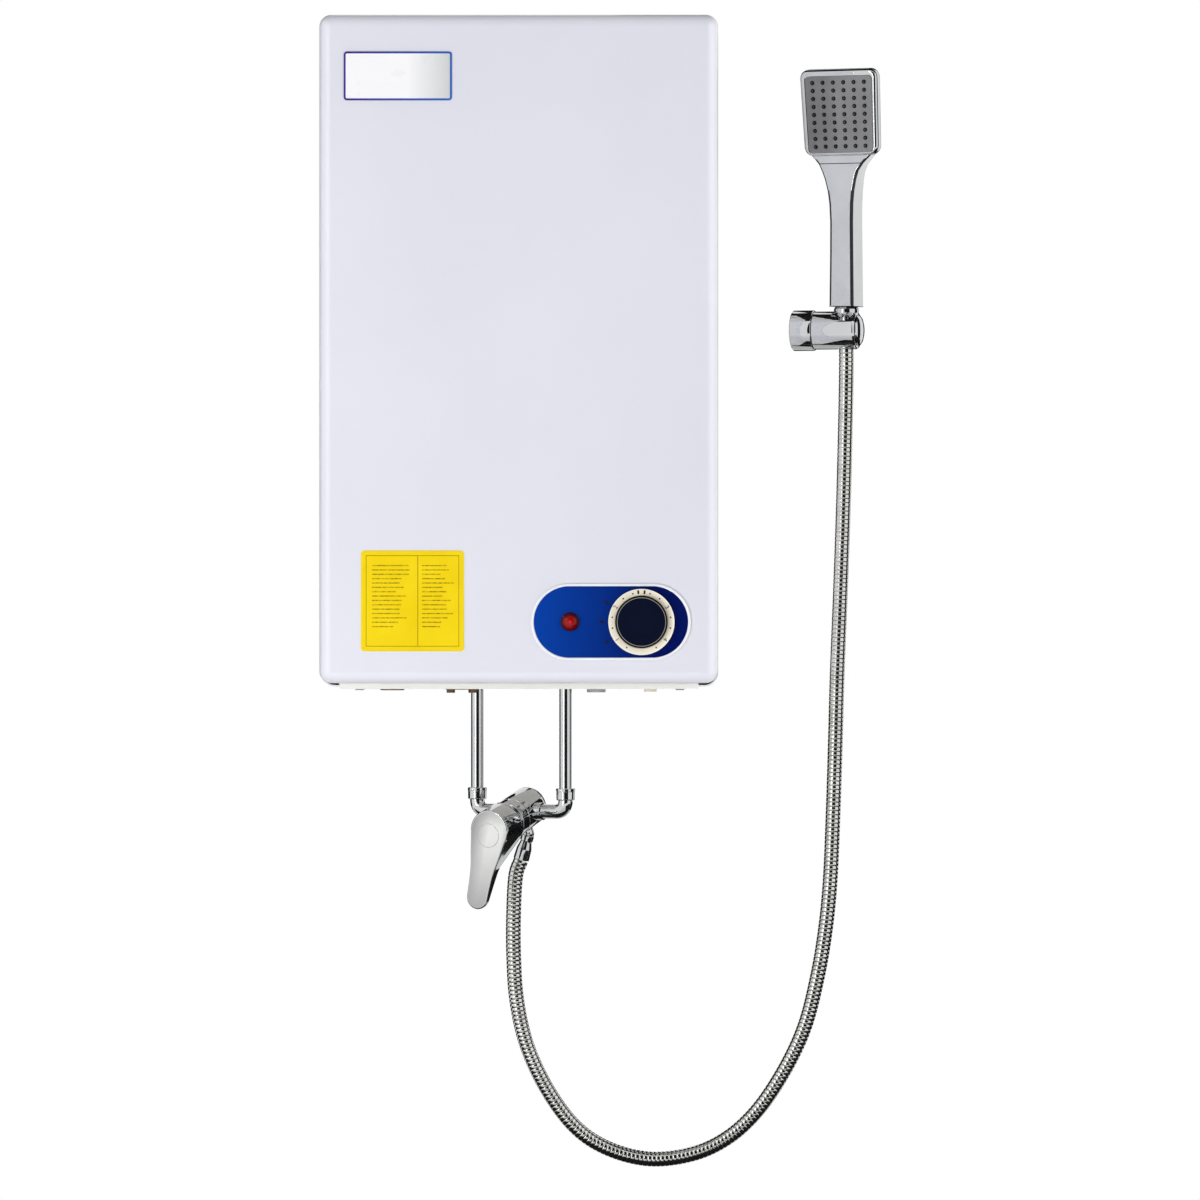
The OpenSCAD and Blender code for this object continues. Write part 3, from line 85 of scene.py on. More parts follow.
class Nodes:
    # a short way to write a material's node tree
    def __init__(self, name):
        self.material = bpy.data.materials.new(name)
        self.material.use_nodes = True
        self.tree = self.material.node_tree
        self.tree.nodes.clear()
        self.out = self.new("OutputMaterial")
        self.shader = self.new("BsdfPrincipled")
        self.link(self.shader.outputs["BSDF"], self.out.inputs["Surface"])
        self.place = self.new("TexCoord").outputs["Object"]

    def new(self, kind):
        return self.tree.nodes.new("ShaderNode" + kind)

    def link(self, a, b):
        self.tree.links.new(a, b)

    def put(self, socket, value):
        if isinstance(value, bpy.types.NodeSocket):
            self.link(value, socket)
        else:
            socket.default_value = value

    def fill(self, node, values):
        for name, value in values.items():
            self.put(node.inputs[name.replace("_", " ")], value)

    def set(self, **values):
        self.fill(self.shader, values)

    def result(self, kind, output, **values):
        node = self.new(kind)
        self.fill(node, values)
        return node.outputs[output]

    def mapped(self, scale, location=(0, 0, 0)):
        return self.result("Mapping", "Vector", Vector=self.place, Scale=scale, Location=location)

    def noise(self, scale, detail, vector=None):
        return self.result("TexNoise", "Fac", Vector=vector or self.place, Scale=scale, Detail=detail)

    def ranged(self, value, low, high, toLow=0, toHigh=1):
        return self.result("MapRange", "Result", Value=value, From_Min=low, From_Max=high, To_Min=toLow,
                           To_Max=toHigh)

    def uneven(self, scale, detail, low=0, high=1):
        return self.ranged(self.noise(scale, detail), 0.3, 0.7, low, high)

    def mix(self, factor, first, second):
        node = self.new("Mix")
        node.data_type = "RGBA"
        for socket, value in (("Factor", factor), (6, first), (7, second)):
            self.put(node.inputs[socket], value)
        return node.outputs[2]

    def math(self, work, first, second=0.0):
        node = self.new("Math")
        node.operation = work
        for socket, value in zip(node.inputs, (first, second)):
            self.put(socket, value)
        return node.outputs["Value"]

    def times(self, first, second):
        return self.math("MULTIPLY", first, second)

    def between(self, value, low, high):
        return self.times(self.math("GREATER_THAN", value, low), self.math("LESS_THAN", value, high))

    def apart(self, vector=None):
        node = self.new("SeparateXYZ")
        self.link(vector or self.place, node.inputs["Vector"])
        return node.outputs

    def around(self, middle):
        # millimetres across and up from a spot on the cover
        x, y, z = self.apart(self.mapped((1000, 1000, 1000), (-middle[0], 0, -middle[1])))
        return x, z

    def bump(self, height, strength, distance):
        self.set(Normal=self.result("Bump", "Normal", Height=height, Strength=strength, Distance=distance))


def makeFinish(name, dark, light, driftScale, glossScale, rough, grainScale, grain, grainDepth,
               metal=0.0, **extra):
    # colour drift, uneven gloss and a fine surface, each at its own scale
    n = Nodes(name)
    n.set(Base_Color=n.mix(n.uneven(driftScale, 4), tone(*dark), tone(*light)), Metallic=metal)
    n.set(Roughness=n.ranged(n.noise(glossScale, 5), 0.25, 0.75, *rough), **extra)
    if isinstance(grainScale, tuple):
        height = n.noise(1.0, 3, n.mapped(grainScale))      # drawn out, as rolling leaves it
    else:
        height = n.noise(grainScale, 2)
    n.bump(height, grain, grainDepth)
    return n.material


# dark and light tone, scales of drift and gloss, roughness; scale, strength and depth of grain; metal
finishRows = {
    "rearPaint": ((224, 224, 226), (231, 231, 232), 5, 30, (0.36, 0.46), 650, 0.14, 0.0004),
    "platePaint": ((231, 229, 223), (239, 237, 232), 9, 40, (0.4, 0.5), 600, 0.14, 0.0004),
    "zincCoat": ((150, 154, 158), (190, 193, 196), 90, 60, (0.35, 0.55), 240, 0.15, 0.0003, 1.0),
    "brightChrome": ((196, 197, 198), (210, 211, 212), 25, 45, (0.02, 0.05), 90, 0.01, 0.0001, 1.0),
    "hoseChrome": ((198, 197, 192), (224, 224, 221), 60, 90, (0.06, 0.12), 500, 0.03, 0.0002, 1.0),
    "tankSteel": ((120, 124, 130), (158, 161, 166), 14, 22, (0.38, 0.55), (60, 60, 900), 0.12, 0.0003, 1.0),
    "foamFill": ((214, 190, 128), (236, 216, 160), 40, 80, (0.85, 0.95), 380, 0.6, 0.001),
    "copperTube": ((168, 92, 58), (204, 124, 84), 30, 60, (0.22, 0.38), (500, 500, 40), 0.06, 0.0002, 1.0),
    "castBrass": ((170, 128, 58), (204, 164, 90), 40, 70, (0.28, 0.42), 500, 0.1, 0.0003, 1.0),
    "agedBrass": ((118, 98, 76), (158, 136, 108), 60, 80, (0.36, 0.52), 420, 0.16, 0.0003, 1.0),
    "softRubber": ((24, 24, 26), (38, 38, 40), 60, 90, (0.6, 0.75), 900, 0.2, 0.0002),
    "greyMagnesium": ((150, 150, 146), (182, 182, 176), 35, 50, (0.5, 0.7), 260, 0.3, 0.0004, 1.0),
    "paleMoulding": ((206, 202, 190), (222, 219, 208), 20, 60, (0.42, 0.52), 900, 0.1, 0.0002),
    # also the hand shower's painted dark reflection along the handle and painted shade in its groove
    "blackMouldingAndPaintedDark": ((22, 22, 24), (34, 34, 37), 30, 70, (0.38, 0.5), 900, 0.12, 0.0002),
    "wireJacket": ((122, 44, 26), (150, 62, 38), 60, 80, (0.4, 0.5), 700, 0.06, 0.0001),
    "greyMoulding": ((140, 142, 146), (160, 162, 166), 30, 60, (0.45, 0.55), 900, 0.1, 0.0002),
    "screwSteel": ((138, 140, 144), (172, 174, 178), 80, 120, (0.25, 0.4), 600, 0.08, 0.0002, 1.0),
    "rimWhite": ((232, 233, 238), (244, 245, 248), 30, 60, (0.28, 0.38), 800, 0.06, 0.0002),
    "markDark": ((1, 9, 46), (3, 13, 56), 200, 90, (0.35, 0.45), 800, 0.05, 0.0001),
    "dialInk": ((22, 21, 25), (40, 38, 42), 300, 90, (0.4, 0.5), 800, 0.05, 0.0001),
    "sprayPlate": ((112, 112, 114), (126, 126, 128), 25, 60, (0.3, 0.4), 700, 0.06, 0.0002),
    "nozzlePale": ((26, 26, 28), (52, 52, 54), 200, 90, (0.4, 0.55), 900, 0.1, 0.0001),
}
finishes = {name: makeFinish(name, *row) for name, row in finishRows.items()}
finishes["casingPaint"] = makeFinish(
    "casingPaint", (221, 222, 232), (226, 227, 236), 4, 30, (0.3, 0.38), 700, 0.12, 0.0004,
    Coat_Weight=0.5, Coat_Roughness=0.07)
finishes["nozzleDark"] = makeFinish(
    "nozzleDark", (8, 8, 9), (18, 18, 20), 90, 90, (0.5, 0.6), 900, 0.1, 0.0001, Specular_IOR_Level=0.1)
print("plain finishes made:", len(finishes))


# Meshes

def arcSteps(corner, before, after, radius, steps):
    # points of a round between two straight runs of a profile
    a, b = (before - corner).normalized(), (after - corner).normalized()
    half = a.angle(b) / 2
    reach = radius / math.tan(half)
    centre = corner + (a + b).normalized() * (radius / math.sin(half))
    first, last = corner + a * reach - centre, corner + b * reach - centre
    sweep = first.angle_signed(last)
    return [centre + Matrix.Rotation(-sweep * k / steps, 2) @ first for k in range(steps + 1)]


def softProfile(points, steps=4):
    # each point is (radius, height) or (radius, height, rounding)
    flat = [Vector(p[:2]) for p in points]
    made = []
    for i, p in enumerate(points):
        if len(p) == 3 and 0 < i < len(points) - 1:
            made += arcSteps(flat[i], flat[i - 1], flat[i + 1], p[2], steps)
        else:
            made.append(flat[i])
    return made


def linked(name, data):
    made = bpy.data.objects.new(name, data)
    scene.collection.objects.link(made)
    return made


def meshOf(name, bm):
    mesh = bpy.data.meshes.new(name)
    bm.to_mesh(mesh)
    bm.free()
    return mesh


def curveMesh(curve):
    # a curve or a figure as a mesh
    holder = linked(curve.name, curve)
    bpy.context.view_layer.update()
    mesh = bpy.data.meshes.new_from_object(holder.evaluated_get(bpy.context.evaluated_depsgraph_get()))
    bpy.data.objects.remove(holder)
    return mesh


def barMesh(name, stations, sides):
    # a round bar through stations of (point, radius)
    curve = bpy.data.curves.new(name, "CURVE")
    curve.dimensions, curve.use_fill_caps = "3D", True
    curve.bevel_depth, curve.bevel_resolution = 1.0, sides
    line = curve.splines.new("POLY")
    line.points.add(len(stations) - 1)
    for spot, (point, radius) in zip(line.points, stations):
        spot.co, spot.radius = (*point, 1), radius
    return curveMesh(curve)


def pour(bm, mesh, place):
    # moves a scratch mesh into a bmesh
    mesh.transform(place)
    bm.from_mesh(mesh)
    bpy.data.meshes.remove(mesh)


def turnProfile(bm, points, place, sides=96, ring=False):
    # a profile spun all the way round Z; a ring's profile closes on itself
    spun = bmesh.new()
    line = [spun.verts.new((p.x, 0, p.y)) for p in softProfile(points)]
    runs = [spun.edges.new(pair) for pair in zip(line, line[1:])]
    if ring:
        runs.append(spun.edges.new((line[-1], line[0])))
    bmesh.ops.spin(spun, geom=line + runs, cent=(0, 0, 0), axis=(0, 0, 1), angle=fullTurn, steps=sides,
                   use_merge=True)
    bmesh.ops.remove_doubles(spun, verts=spun.verts[:], dist=mergeWithin / 2)
    pour(bm, meshOf("scratch", spun), place)


def turnSolid(points, place, sides=96, ring=False):
    bm = bmesh.new()
    turnProfile(bm, points, place, sides, ring)
    return bm


def roundEdges(bm, edges, offset, steps, affect="EDGES"):
    bmesh.ops.bevel(bm, geom=edges, offset=offset, segments=steps, profile=0.5, affect=affect, material=-1)


def addBlock(bm, size, centre):
    made = bmesh.ops.create_cube(bm, size=1)["verts"]
    bmesh.ops.scale(bm, vec=size, verts=made)
    bmesh.ops.translate(bm, vec=centre, verts=made)


def addPlate(bm, half, corner, steps, place):
    # one face with round corners, on the XY plane of place
    flat = bmesh.new()
    made = bmesh.ops.create_grid(flat, x_segments=1, y_segments=1, size=1)["verts"]
    bmesh.ops.scale(flat, vec=(half[0], half[1], 1), verts=made)
    roundEdges(flat, made, corner, steps, "VERTICES")
    bmesh.ops.remove_doubles(flat, verts=flat.verts[:], dist=mergeWithin / 2)
    face = bm.faces.new([bm.verts.new(place @ v.co) for v in next(iter(flat.faces)).verts])
    flat.free()
    return face


def liftFace(bm, face, along):
    # a face drawn out along a vector; only a lone face stays behind, as the bottom
    joined = any(len(e.link_faces) > 1 for e in face.edges)
    made = bmesh.ops.extrude_face_region(bm, geom=[face])["geom"]
    bmesh.ops.translate(bm, vec=along, verts=[v for v in made if isinstance(v, bmesh.types.BMVert)])
    if joined:
        bmesh.ops.delete(bm, geom=[face], context="FACES_ONLY")
    return next(f for f in made if isinstance(f, bmesh.types.BMFace))


def plateSolid(half, corner, steps, place, along):
    bm = bmesh.new()
    return bm, liftFace(bm, addPlate(bm, half, corner, steps, place), along)


def insetFace(bm, face, width, depth=0.0, tint=0):
    # a border inside a face, raised or sunk by depth; the border takes the tint's material
    made = bmesh.ops.inset_individual(bm, faces=[face], thickness=width, depth=depth, use_even_offset=True)
    for strip in made["faces"]:
        strip.material_index = tint


def addLoft(bm, slices, corner, place, steps):
    # closed skin over a row of rounded rectangles: (height, half width, half depth, middle y)
    loops, caps = [], []
    for z, wide, deep, y in slices:
        face = addPlate(bm, (wide, deep), corner, steps, place @ moved(0, y, z))
        loops.append(face.edges[:])
        caps.append(face)
    for a, b in zip(loops, loops[1:]):
        bmesh.ops.bridge_loops(bm, edges=a + b)
    bmesh.ops.delete(bm, geom=caps[1:-1], context="FACES_ONLY")


def mend(bm):
    bmesh.ops.remove_doubles(bm, verts=bm.verts[:], dist=mergeWithin)
    bmesh.ops.recalc_face_normals(bm, faces=bm.faces[:])


def finishPiece(name, bm, finish, body, replaced=(), sharp=35, tidyFlats=False):
    # merges, turns the faces outwards, scales to metres and sets the piece on its body
    mend(bm)
    bmesh.ops.scale(bm, vec=(millimetre,) * 3, verts=bm.verts[:])
    settlePiece(name, meshOf(name, bm), finish, body, replaced, sharp, tidyFlats)


def chromePiece(name, bm, body, node, sharp=40, tidyFlats=False):
    finishPiece(name, bm, finishes["brightChrome"], body, [node], sharp, tidyFlats)


def settlePiece(name, mesh, finish, body, replaced=(), sharp=35, tidyFlats=False):
    piece = linked(name, mesh)
    for material in finish if isinstance(finish, list) else [finish]:
        mesh.materials.append(material)
    mesh.polygons.foreach_set("use_smooth", [True] * len(mesh.polygons))
    mesh.set_sharp_from_angle(angle=math.radians(sharp))
    if tidyFlats:
        even = piece.modifiers.new("evenFlats", "WEIGHTED_NORMAL")
        even.keep_sharp = True
    if body:
        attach(piece, body)
    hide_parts(*replaced)
    return piece


def solidOf(bm, name):
    # a scratch object for joining and cutting
    mend(bm)
    return linked(name, meshOf(name, bm))


def joinSolids(first, unions=(), cuts=(), common=()):
    # takes bmeshes, and gives one back
    base = solidOf(first, "joinBase")
    tools = []
    for work, solids in (("UNION", unions), ("DIFFERENCE", cuts), ("INTERSECT", common)):
        for bm in solids:
            tools.append(solidOf(bm, "joinTool" + str(len(tools))))
            step = base.modifiers.new("join" + str(len(tools)), "BOOLEAN")
            step.operation, step.solver, step.object = work, "EXACT", tools[-1]
    bpy.context.view_layer.update()
    made = bmesh.new()
    made.from_object(base, bpy.context.evaluated_depsgraph_get())
    for scratch in tools + [base]:
        bpy.data.objects.remove(scratch)
    return made


# Camera, square on to the cover from 8 m
cameraPlan = {"place": (0.0776, -8.225, -0.2381), "lens": 252, "sensor": 36}
camera = linked("photoCamera", bpy.data.cameras.new("photoCamera"))
camera.data.lens, camera.data.sensor_width = cameraPlan["lens"], cameraPlan["sensor"]
camera.data.clip_end = 100
camera.location = cameraPlan["place"]
camera.rotation_euler = (math.pi / 2, 0, 0)
scene.camera = camera
print("camera set")


# Hose, in the two stretches that the frame has
hosePlan = {
    "across": 14.5, "groove": 0.38, "pitch": 4.1, "sideSteps": 9, "lowerShare": 183 / 200,
    "followFrom": (0.306, -0.066, -0.38),
}
hoseRoute = [
    (1, -95, -490), (-4, -95, -505), (-6, -94, -540), (-6, -92, -582), (-3, -90, -626), (7, -89, -670),
    (27, -87, -713), (54, -86, -749), (86, -84, -770), (126, -83, -780), (168, -81, -775), (202, -80, -759),
    (231, -79, -732), (257, -77, -693), (276, -76, -652), (288, -74, -606), (296, -72, -560),
    (301, -70, -510), (304, -68, -442), (306, -66, -380), (308, -63, -310), (311, -61, -235),
    (314, -60, -150), (316, -60, -70), (317, -60, -14), (317, -60, 5.9)]
# share of the pitch, share of the groove's depth
ribShape = [(0.0, 1.0), (0.07, 0.45), (0.18, 0.08), (0.5, 0.0), (0.82, 0.08), (0.93, 0.45)]


def smoothRoute(points, steps=8):
    # an even curve through the points
    p = [Vector(q) for q in points]
    made = []
    for i in range(len(p) - 1):
        b, c = p[i], p[i + 1]
        a = p[i - 1] if i else 2 * b - c
        d = p[i + 2] if i + 2 < len(p) else 2 * c - b
        for k in range(steps):
            t = k / steps
            made.append((2 * b + (c - a) * t + (2 * a - 5 * b + 4 * c - d) * t * t
                         + (3 * b - a - 3 * c + d) * t ** 3) / 2)
    return made + [p[-1]]


hoseLine = smoothRoute(hoseRoute)
hoseRuns = [0.0]
for a, b in zip(hoseLine, hoseLine[1:]):
    hoseRuns.append(hoseRuns[-1] + (b - a).length)
hoseLength = hoseRuns[-1]


def hoseAt(s):
    # the spot in metres that lies s millimetres along the hose
    i = 0
    while i < len(hoseRuns) - 2 and hoseRuns[i + 1] < s:
        i += 1
    share = (s - hoseRuns[i]) / (hoseRuns[i + 1] - hoseRuns[i])
    return hoseLine[i].lerp(hoseLine[i + 1], share) * millimetre


def makeHose(name, node, first, last, followFrom=None):
    # a bevelled curve whose radius rises and falls with the ribs, made a mesh
    ribs = round((last - first) / hosePlan["pitch"])
    pitch = (last - first) / ribs
    turns = [(first + (k + share) * pitch, depth) for k in range(ribs) for share, depth in ribShape]
    stations = [(hoseAt(s), (hosePlan["across"] / 2 - depth * hosePlan["groove"]) * millimetre)
                for s, depth in turns + [(last, 1.0)]]
    mesh = barMesh(name, stations, hosePlan["sideSteps"])
    mesh.materials.clear()
    steps = 4 * ribs
    path = [hoseAt(first + (last - first) * k / steps) for k in range(steps + 1)]
    hose = settlePiece(name, mesh, finishes["hoseChrome"], None, [node], 60)
    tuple(followFrom or tuple(path[0]))
    tuple(path[-1])
    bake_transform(hose)
    tuple(path[0])


hoseJoin = hoseLength * hosePlan["lowerShare"]
makeHose("hoseLower", "hose_lower", 0, hoseJoin, hosePlan["followFrom"])
makeHose("hoseUpper", "hose_upper", hoseJoin, hoseLength)
print("hose made:", round(hoseLength), "mm")


# Front cover, a pressed sheet with round edges
coverPlan = {"size": (380, 119, 637.4), "middle": (0, -165.5, 1.3), "round": 11.5, "sheet": 1.5}


def makeCover():
    bm = bmesh.new()
    addBlock(bm, coverPlan["size"], coverPlan["middle"])
    back = max(bm.faces, key=lambda f: f.calc_center_median().y)
    bmesh.ops.delete(bm, geom=[back], context="FACES_ONLY")
    roundEdges(bm, [e for e in bm.edges if not e.is_boundary], coverPlan["round"], 10)
    bmesh.ops.recalc_face_normals(bm, faces=bm.faces[:])
    bmesh.ops.solidify(bm, geom=bm.faces[:], thickness=coverPlan["sheet"])
    bmesh.ops.scale(bm, vec=(millimetre,) * 3, verts=bm.verts[:])
    settlePiece("frontCover", meshOf("frontCover", bm), finishes["casingPaint"], "heater",
                ["front_cover"], 50, True)


makeCover()
print("cover made")


# Badge plate, bare, with a coloured border
badgePlan = {
    "middle": (-115, 261), "half": (51.5, 23.25), "corner": 3, "thick": 0.9, "edge": 0.3, "border": 1.6,
}


def badgeFinishes():
    n = Nodes("badgeWhite")
    across = n.apart()[0]
    worn = n.ranged(n.noise(30, 2), 0.2, 0.8, 0.96, 1.0)
    shade = n.times(n.ranged(across, -0.105, -0.066), worn)
    n.set(Base_Color=n.mix(shade, tone(247, 247, 249), tone(206, 209, 210)))
    n.set(Roughness=n.uneven(60, 3, 0.26, 0.34), Coat_Weight=0.3, Coat_Roughness=0.15)
    n.bump(n.noise(500, 2), 0.05, 0.0002)
    rim = Nodes("badgeRim")
    across = rim.apart()[0]
    rim.set(Base_Color=rim.mix(rim.ranged(across, -0.166, -0.07), tone(70, 42, 140), tone(48, 94, 182)))
    rim.set(Roughness=rim.uneven(80, 3, 0.28, 0.36), Specular_IOR_Level=0.12)
    return [n.material, rim.material]


def flatPlace(x, z, y=coverFront):
    return moved(x, y, z) @ faceFrame


def flatPlate(plan):
    # a thin plate on the cover, with the face that looks into the room
    return plateSolid(plan["half"], plan["corner"], 6, flatPlace(*plan["middle"]), (0, -plan["thick"], 0))


def makeBadge():
    bm, face = flatPlate(badgePlan)
    insetFace(bm, face, badgePlan["edge"], badgePlan["edge"], 1)
    insetFace(bm, face, badgePlan["border"], 0, 1)
    for wall in bm.faces:
        if abs(wall.normal.y) < 0.1:
            wall.material_index = 1
    finishPiece("badgePlate", bm, badgeFinishes(), "heater", ["badge_plate"], 30)


makeBadge()


# Instruction card, yellow and ruled
cardPlan = {
    "middle": (-101, -239), "half": (49, 48), "corner": 3.5, "thick": 0.5, "margin": 4.6, "line": 0.55,
    "divider": 5.1, "pitch": 4.15, "rule": 1.15, "ruleTop": 35.0, "ruleLow": -25.0, "left": (-38.5, 37.0),
    "right": (9.0, 32.0),
}


def cardFinish():
    ink = tone(84, 70, 8)
    n = Nodes("cardYellow")
    x, z = n.around(cardPlan["middle"])
    paper = n.mix(n.uneven(35, 4), tone(234, 203, 12), tone(240, 211, 21))
    rowAt = n.math("DIVIDE", n.math("SUBTRACT", z, cardPlan["ruleLow"]), cardPlan["pitch"])
    onRule = n.math("LESS_THAN", n.math("FRACT", rowAt), cardPlan["rule"] / cardPlan["pitch"])

    def column(seed, start, width):
        # rules of uneven length, counted from the card's foot
        chance = n.math("SINE", n.times(n.math("FLOOR", rowAt), seed))
        chance = n.math("FRACT", n.times(chance, 437.5))
        return n.between(x, start, n.ranged(chance, 0, 1, start + 0.55 * width, start + width))

    def apartFrom(value, middle=0.0):
        return n.math("ABSOLUTE", n.math("SUBTRACT", value, middle))

    left = n.times(column(12.9, *cardPlan["left"]), n.math("LESS_THAN", x, cardPlan["divider"]))
    inColumn = n.math("MAXIMUM", left, column(7.3, *cardPlan["right"]))
    rules = n.times(n.times(onRule, inColumn), n.between(z, cardPlan["ruleLow"], cardPlan["ruleTop"]))
    worn = n.ranged(n.noise(420, 2), 0.35, 0.7, 0.3, 0.85)
    divider = n.math("LESS_THAN", apartFrom(x, cardPlan["divider"]), 0.32)
    wide, high = (h - cardPlan["margin"] for h in cardPlan["half"])
    edge = n.math("MAXIMUM", n.math("SUBTRACT", apartFrom(x), wide), n.math("SUBTRACT", apartFrom(z), high))
    divider = n.times(divider, n.math("LESS_THAN", edge, 0.0))
    bars = n.times(n.math("MAXIMUM", n.between(edge, -cardPlan["line"], 0.0), divider), 0.8)
    inked = n.math("MAXIMUM", n.times(rules, worn), bars)
    n.set(Base_Color=n.mix(inked, paper, ink), Roughness=n.uneven(90, 3, 0.36, 0.46),
          Specular_IOR_Level=0.12)
    n.bump(n.noise(900, 2), 0.06, 0.0002)
    return n.material


def makeCard():
    bm, face = flatPlate(cardPlan)
    insetFace(bm, face, 0.1, 0.1)
    finishPiece("instructionCard", bm, cardFinish(), "heater", ["instruction_card"], 30)


makeCard()
print("badge and card made")


# Control panel: white rim, blue face, lamp and dial
panelPlan = {
    "middle": (88, -259), "half": (76, 36.5), "rim": 2.3, "top": 0.7, "flat": 1.1, "inside": 2.55,
    "faceThick": 1.8, "markTurns": (150, 180, 210), "markReach": 37.5, "markHalf": (2.3, 1.2),
}
lampPlan = {
    "middle": (49, -259), "base": -227.0,
    "profile": [(0, 0), (9, 0), (9, 2.0, 0.6), (8.1, 2.3, 0.2), (7.7, 3.6), (6.4, 5.2), (4.4, 6.3),
        (2.1, 6.85), (0, 7)],
    # the reds carry painted light: a pale glow at the middle of the lens and painted shade darkening towards
    # its rim
    "redsWithPaintedGlow": [(0, (226, 76, 64)), (1.2, (176, 24, 24)), (3.4, (140, 8, 10)), (6.6, (108, 4, 7)),
        (8.0, (60, 3, 5)), (9.2, (30, 3, 5))],
}
dialPlan = {
    "middle": (117, -259), "base": -228.3, "ring": [(25.0, 0), (31.5, 0), (31.5, 7.2, 1.1), (25.0, 8.0)],
    "cap": [(0, 0.4), (24.5, 0.4), (24.5, 13.9, 0.35), (23.7, 13.9, 0.15), (23.5, 13.5), (0, 13.5)],
    "numerals": {"1": -126, "2": -60, "3": 60, "4": 126}, "reach": 28.1, "numeralSize": 6.0,
    "dots": (-150, -102, -81, -38, -17, 17, 38, 81, 102, 150), "bars": (-6, 6), "tilt": -7.0,
    "proud": 0.07,
    # the cream stops are darker at the ring's inner edge, painted shade in the gap beside the cap, and paler
    # towards its outer edge
    "creamsWithPaintedShade": [(0, (190, 180, 160)), (25.1, (190, 180, 160)), (26.0, (232, 224, 204)),
        (30.2, (240, 233, 216)), (32, (250, 248, 240))],
    # the navy stops paint a thin pale highlight line just inside the cap's raised rim, and painted shade
    # darkening the rim beside the ring
    "naviesWithPaintedHighlightAndShade": [(0, (9, 15, 40)), (22.7, (7, 13, 36)), (22.85, (150, 148, 140)), (23.25, (150, 148, 140)),
        (23.4, (5, 6, 12)), (24.6, (3, 3, 6))],
}


def radialFinish(name, middle, stops, rough, coat, grain):
    # rings of colour round an axis that faces the room: stops are (radius in mm, colour)
    n = Nodes(name)
    x, z = n.around(middle)
    reach = n.math("SQRT", n.math("ADD", n.times(x, x), n.times(z, z)))
    ramp = n.new("ValToRGB")
    n.link(n.math("DIVIDE", reach, stops[-1][0]), ramp.inputs["Fac"])
    for k, (radius, colour) in enumerate(stops):
        stop = ramp.color_ramp.elements[k] if k < 2 else ramp.color_ramp.elements.new(1.0)
        stop.position, stop.color = radius / stops[-1][0], tone(*colour)
    shade = n.uneven(70, 3, 0.93, 1.0)
    tint = n.new("VectorMath")
    tint.operation = "SCALE"
    n.link(ramp.outputs["Color"], tint.inputs[0])
    n.link(shade, tint.inputs["Scale"])
    n.set(Base_Color=tint.outputs["Vector"], Roughness=n.uneven(120, 3, *rough),
          Coat_Weight=coat, Coat_Roughness=0.05, Specular_IOR_Level=0.1)
    n.bump(n.noise(900, 2), grain, 0.0002)
    return n.material


def blueFinish():
    n = Nodes("panelBlue")
    drift = n.math("ADD", n.apart()[0], n.uneven(20, 3, -0.004, 0.004))
    n.set(Base_Color=n.mix(n.ranged(drift, 0.012, 0.135), tone(4, 61, 160), tone(1, 17, 90)))
    n.set(Roughness=n.uneven(80, 4, 0.26, 0.36), Specular_IOR_Level=0.06)
    n.bump(n.noise(800, 2), 0.05, 0.0002)
    return n.material


def makePanel():
    p = panelPlan
    bm, face = plateSolid(p["half"], p["half"][1], 28, flatPlace(*p["middle"]), (0, -p["rim"], 0))
    insetFace(bm, face, p["top"], p["top"])
    insetFace(bm, face, p["flat"])
    insetFace(bm, face, p["top"], -p["top"])
    liftFace(bm, face, (0, p["rim"] - 0.1, 0))
    finishPiece("panelRim", bm, finishes["rimWhite"], "heater", ["panel_rim"], 50)

    inner = (p["half"][0] - p["inside"], p["half"][1] - p["inside"])
    place = flatPlace(*p["middle"], coverFront - 0.1)
    bm = plateSolid(inner, inner[1], 28, place, (0, -p["faceThick"], 0))[0]
    finishPiece("panelFace", bm, blueFinish(), "heater", ["panel_face"], 30)

    bm = bmesh.new()
    for turn in p["markTurns"]:
        spot = flatPlace(*dialPlan["middle"], coverFront - p["faceThick"]) @ turned(turn, "Z")
        face = addPlate(bm, p["markHalf"], 0.7, 3, spot @ moved(p["markReach"], 0, 0))
        liftFace(bm, face, (0, -0.16, 0))
    finishPiece("indexMarks", bm, finishes["markDark"], "heater", (), 40)


def makeLamp():
    # the lens is coloured with a painted glow at its middle and painted shade at its rim
    red = radialFinish("lampRed", lampPlan["middle"], lampPlan["redsWithPaintedGlow"], (0.05, 0.1), 0.3, 0.02)
    bm = turnSolid(lampPlan["profile"], flatPlace(*lampPlan["middle"], lampPlan["base"]), 64)
    finishPiece("lampLens", bm, red, "heater", ["lamp_lens"], 50)


def addNumeral(bm, text, place):
    # a flat figure in the built-in font
    curve = bpy.data.curves.new("figure", "FONT")
    curve.body, curve.size, curve.align_x, curve.align_y = text, dialPlan["numeralSize"], "CENTER", "CENTER"
    curve.extrude, curve.resolution_u = dialPlan["proud"], 3
    pour(bm, curveMesh(curve), place)


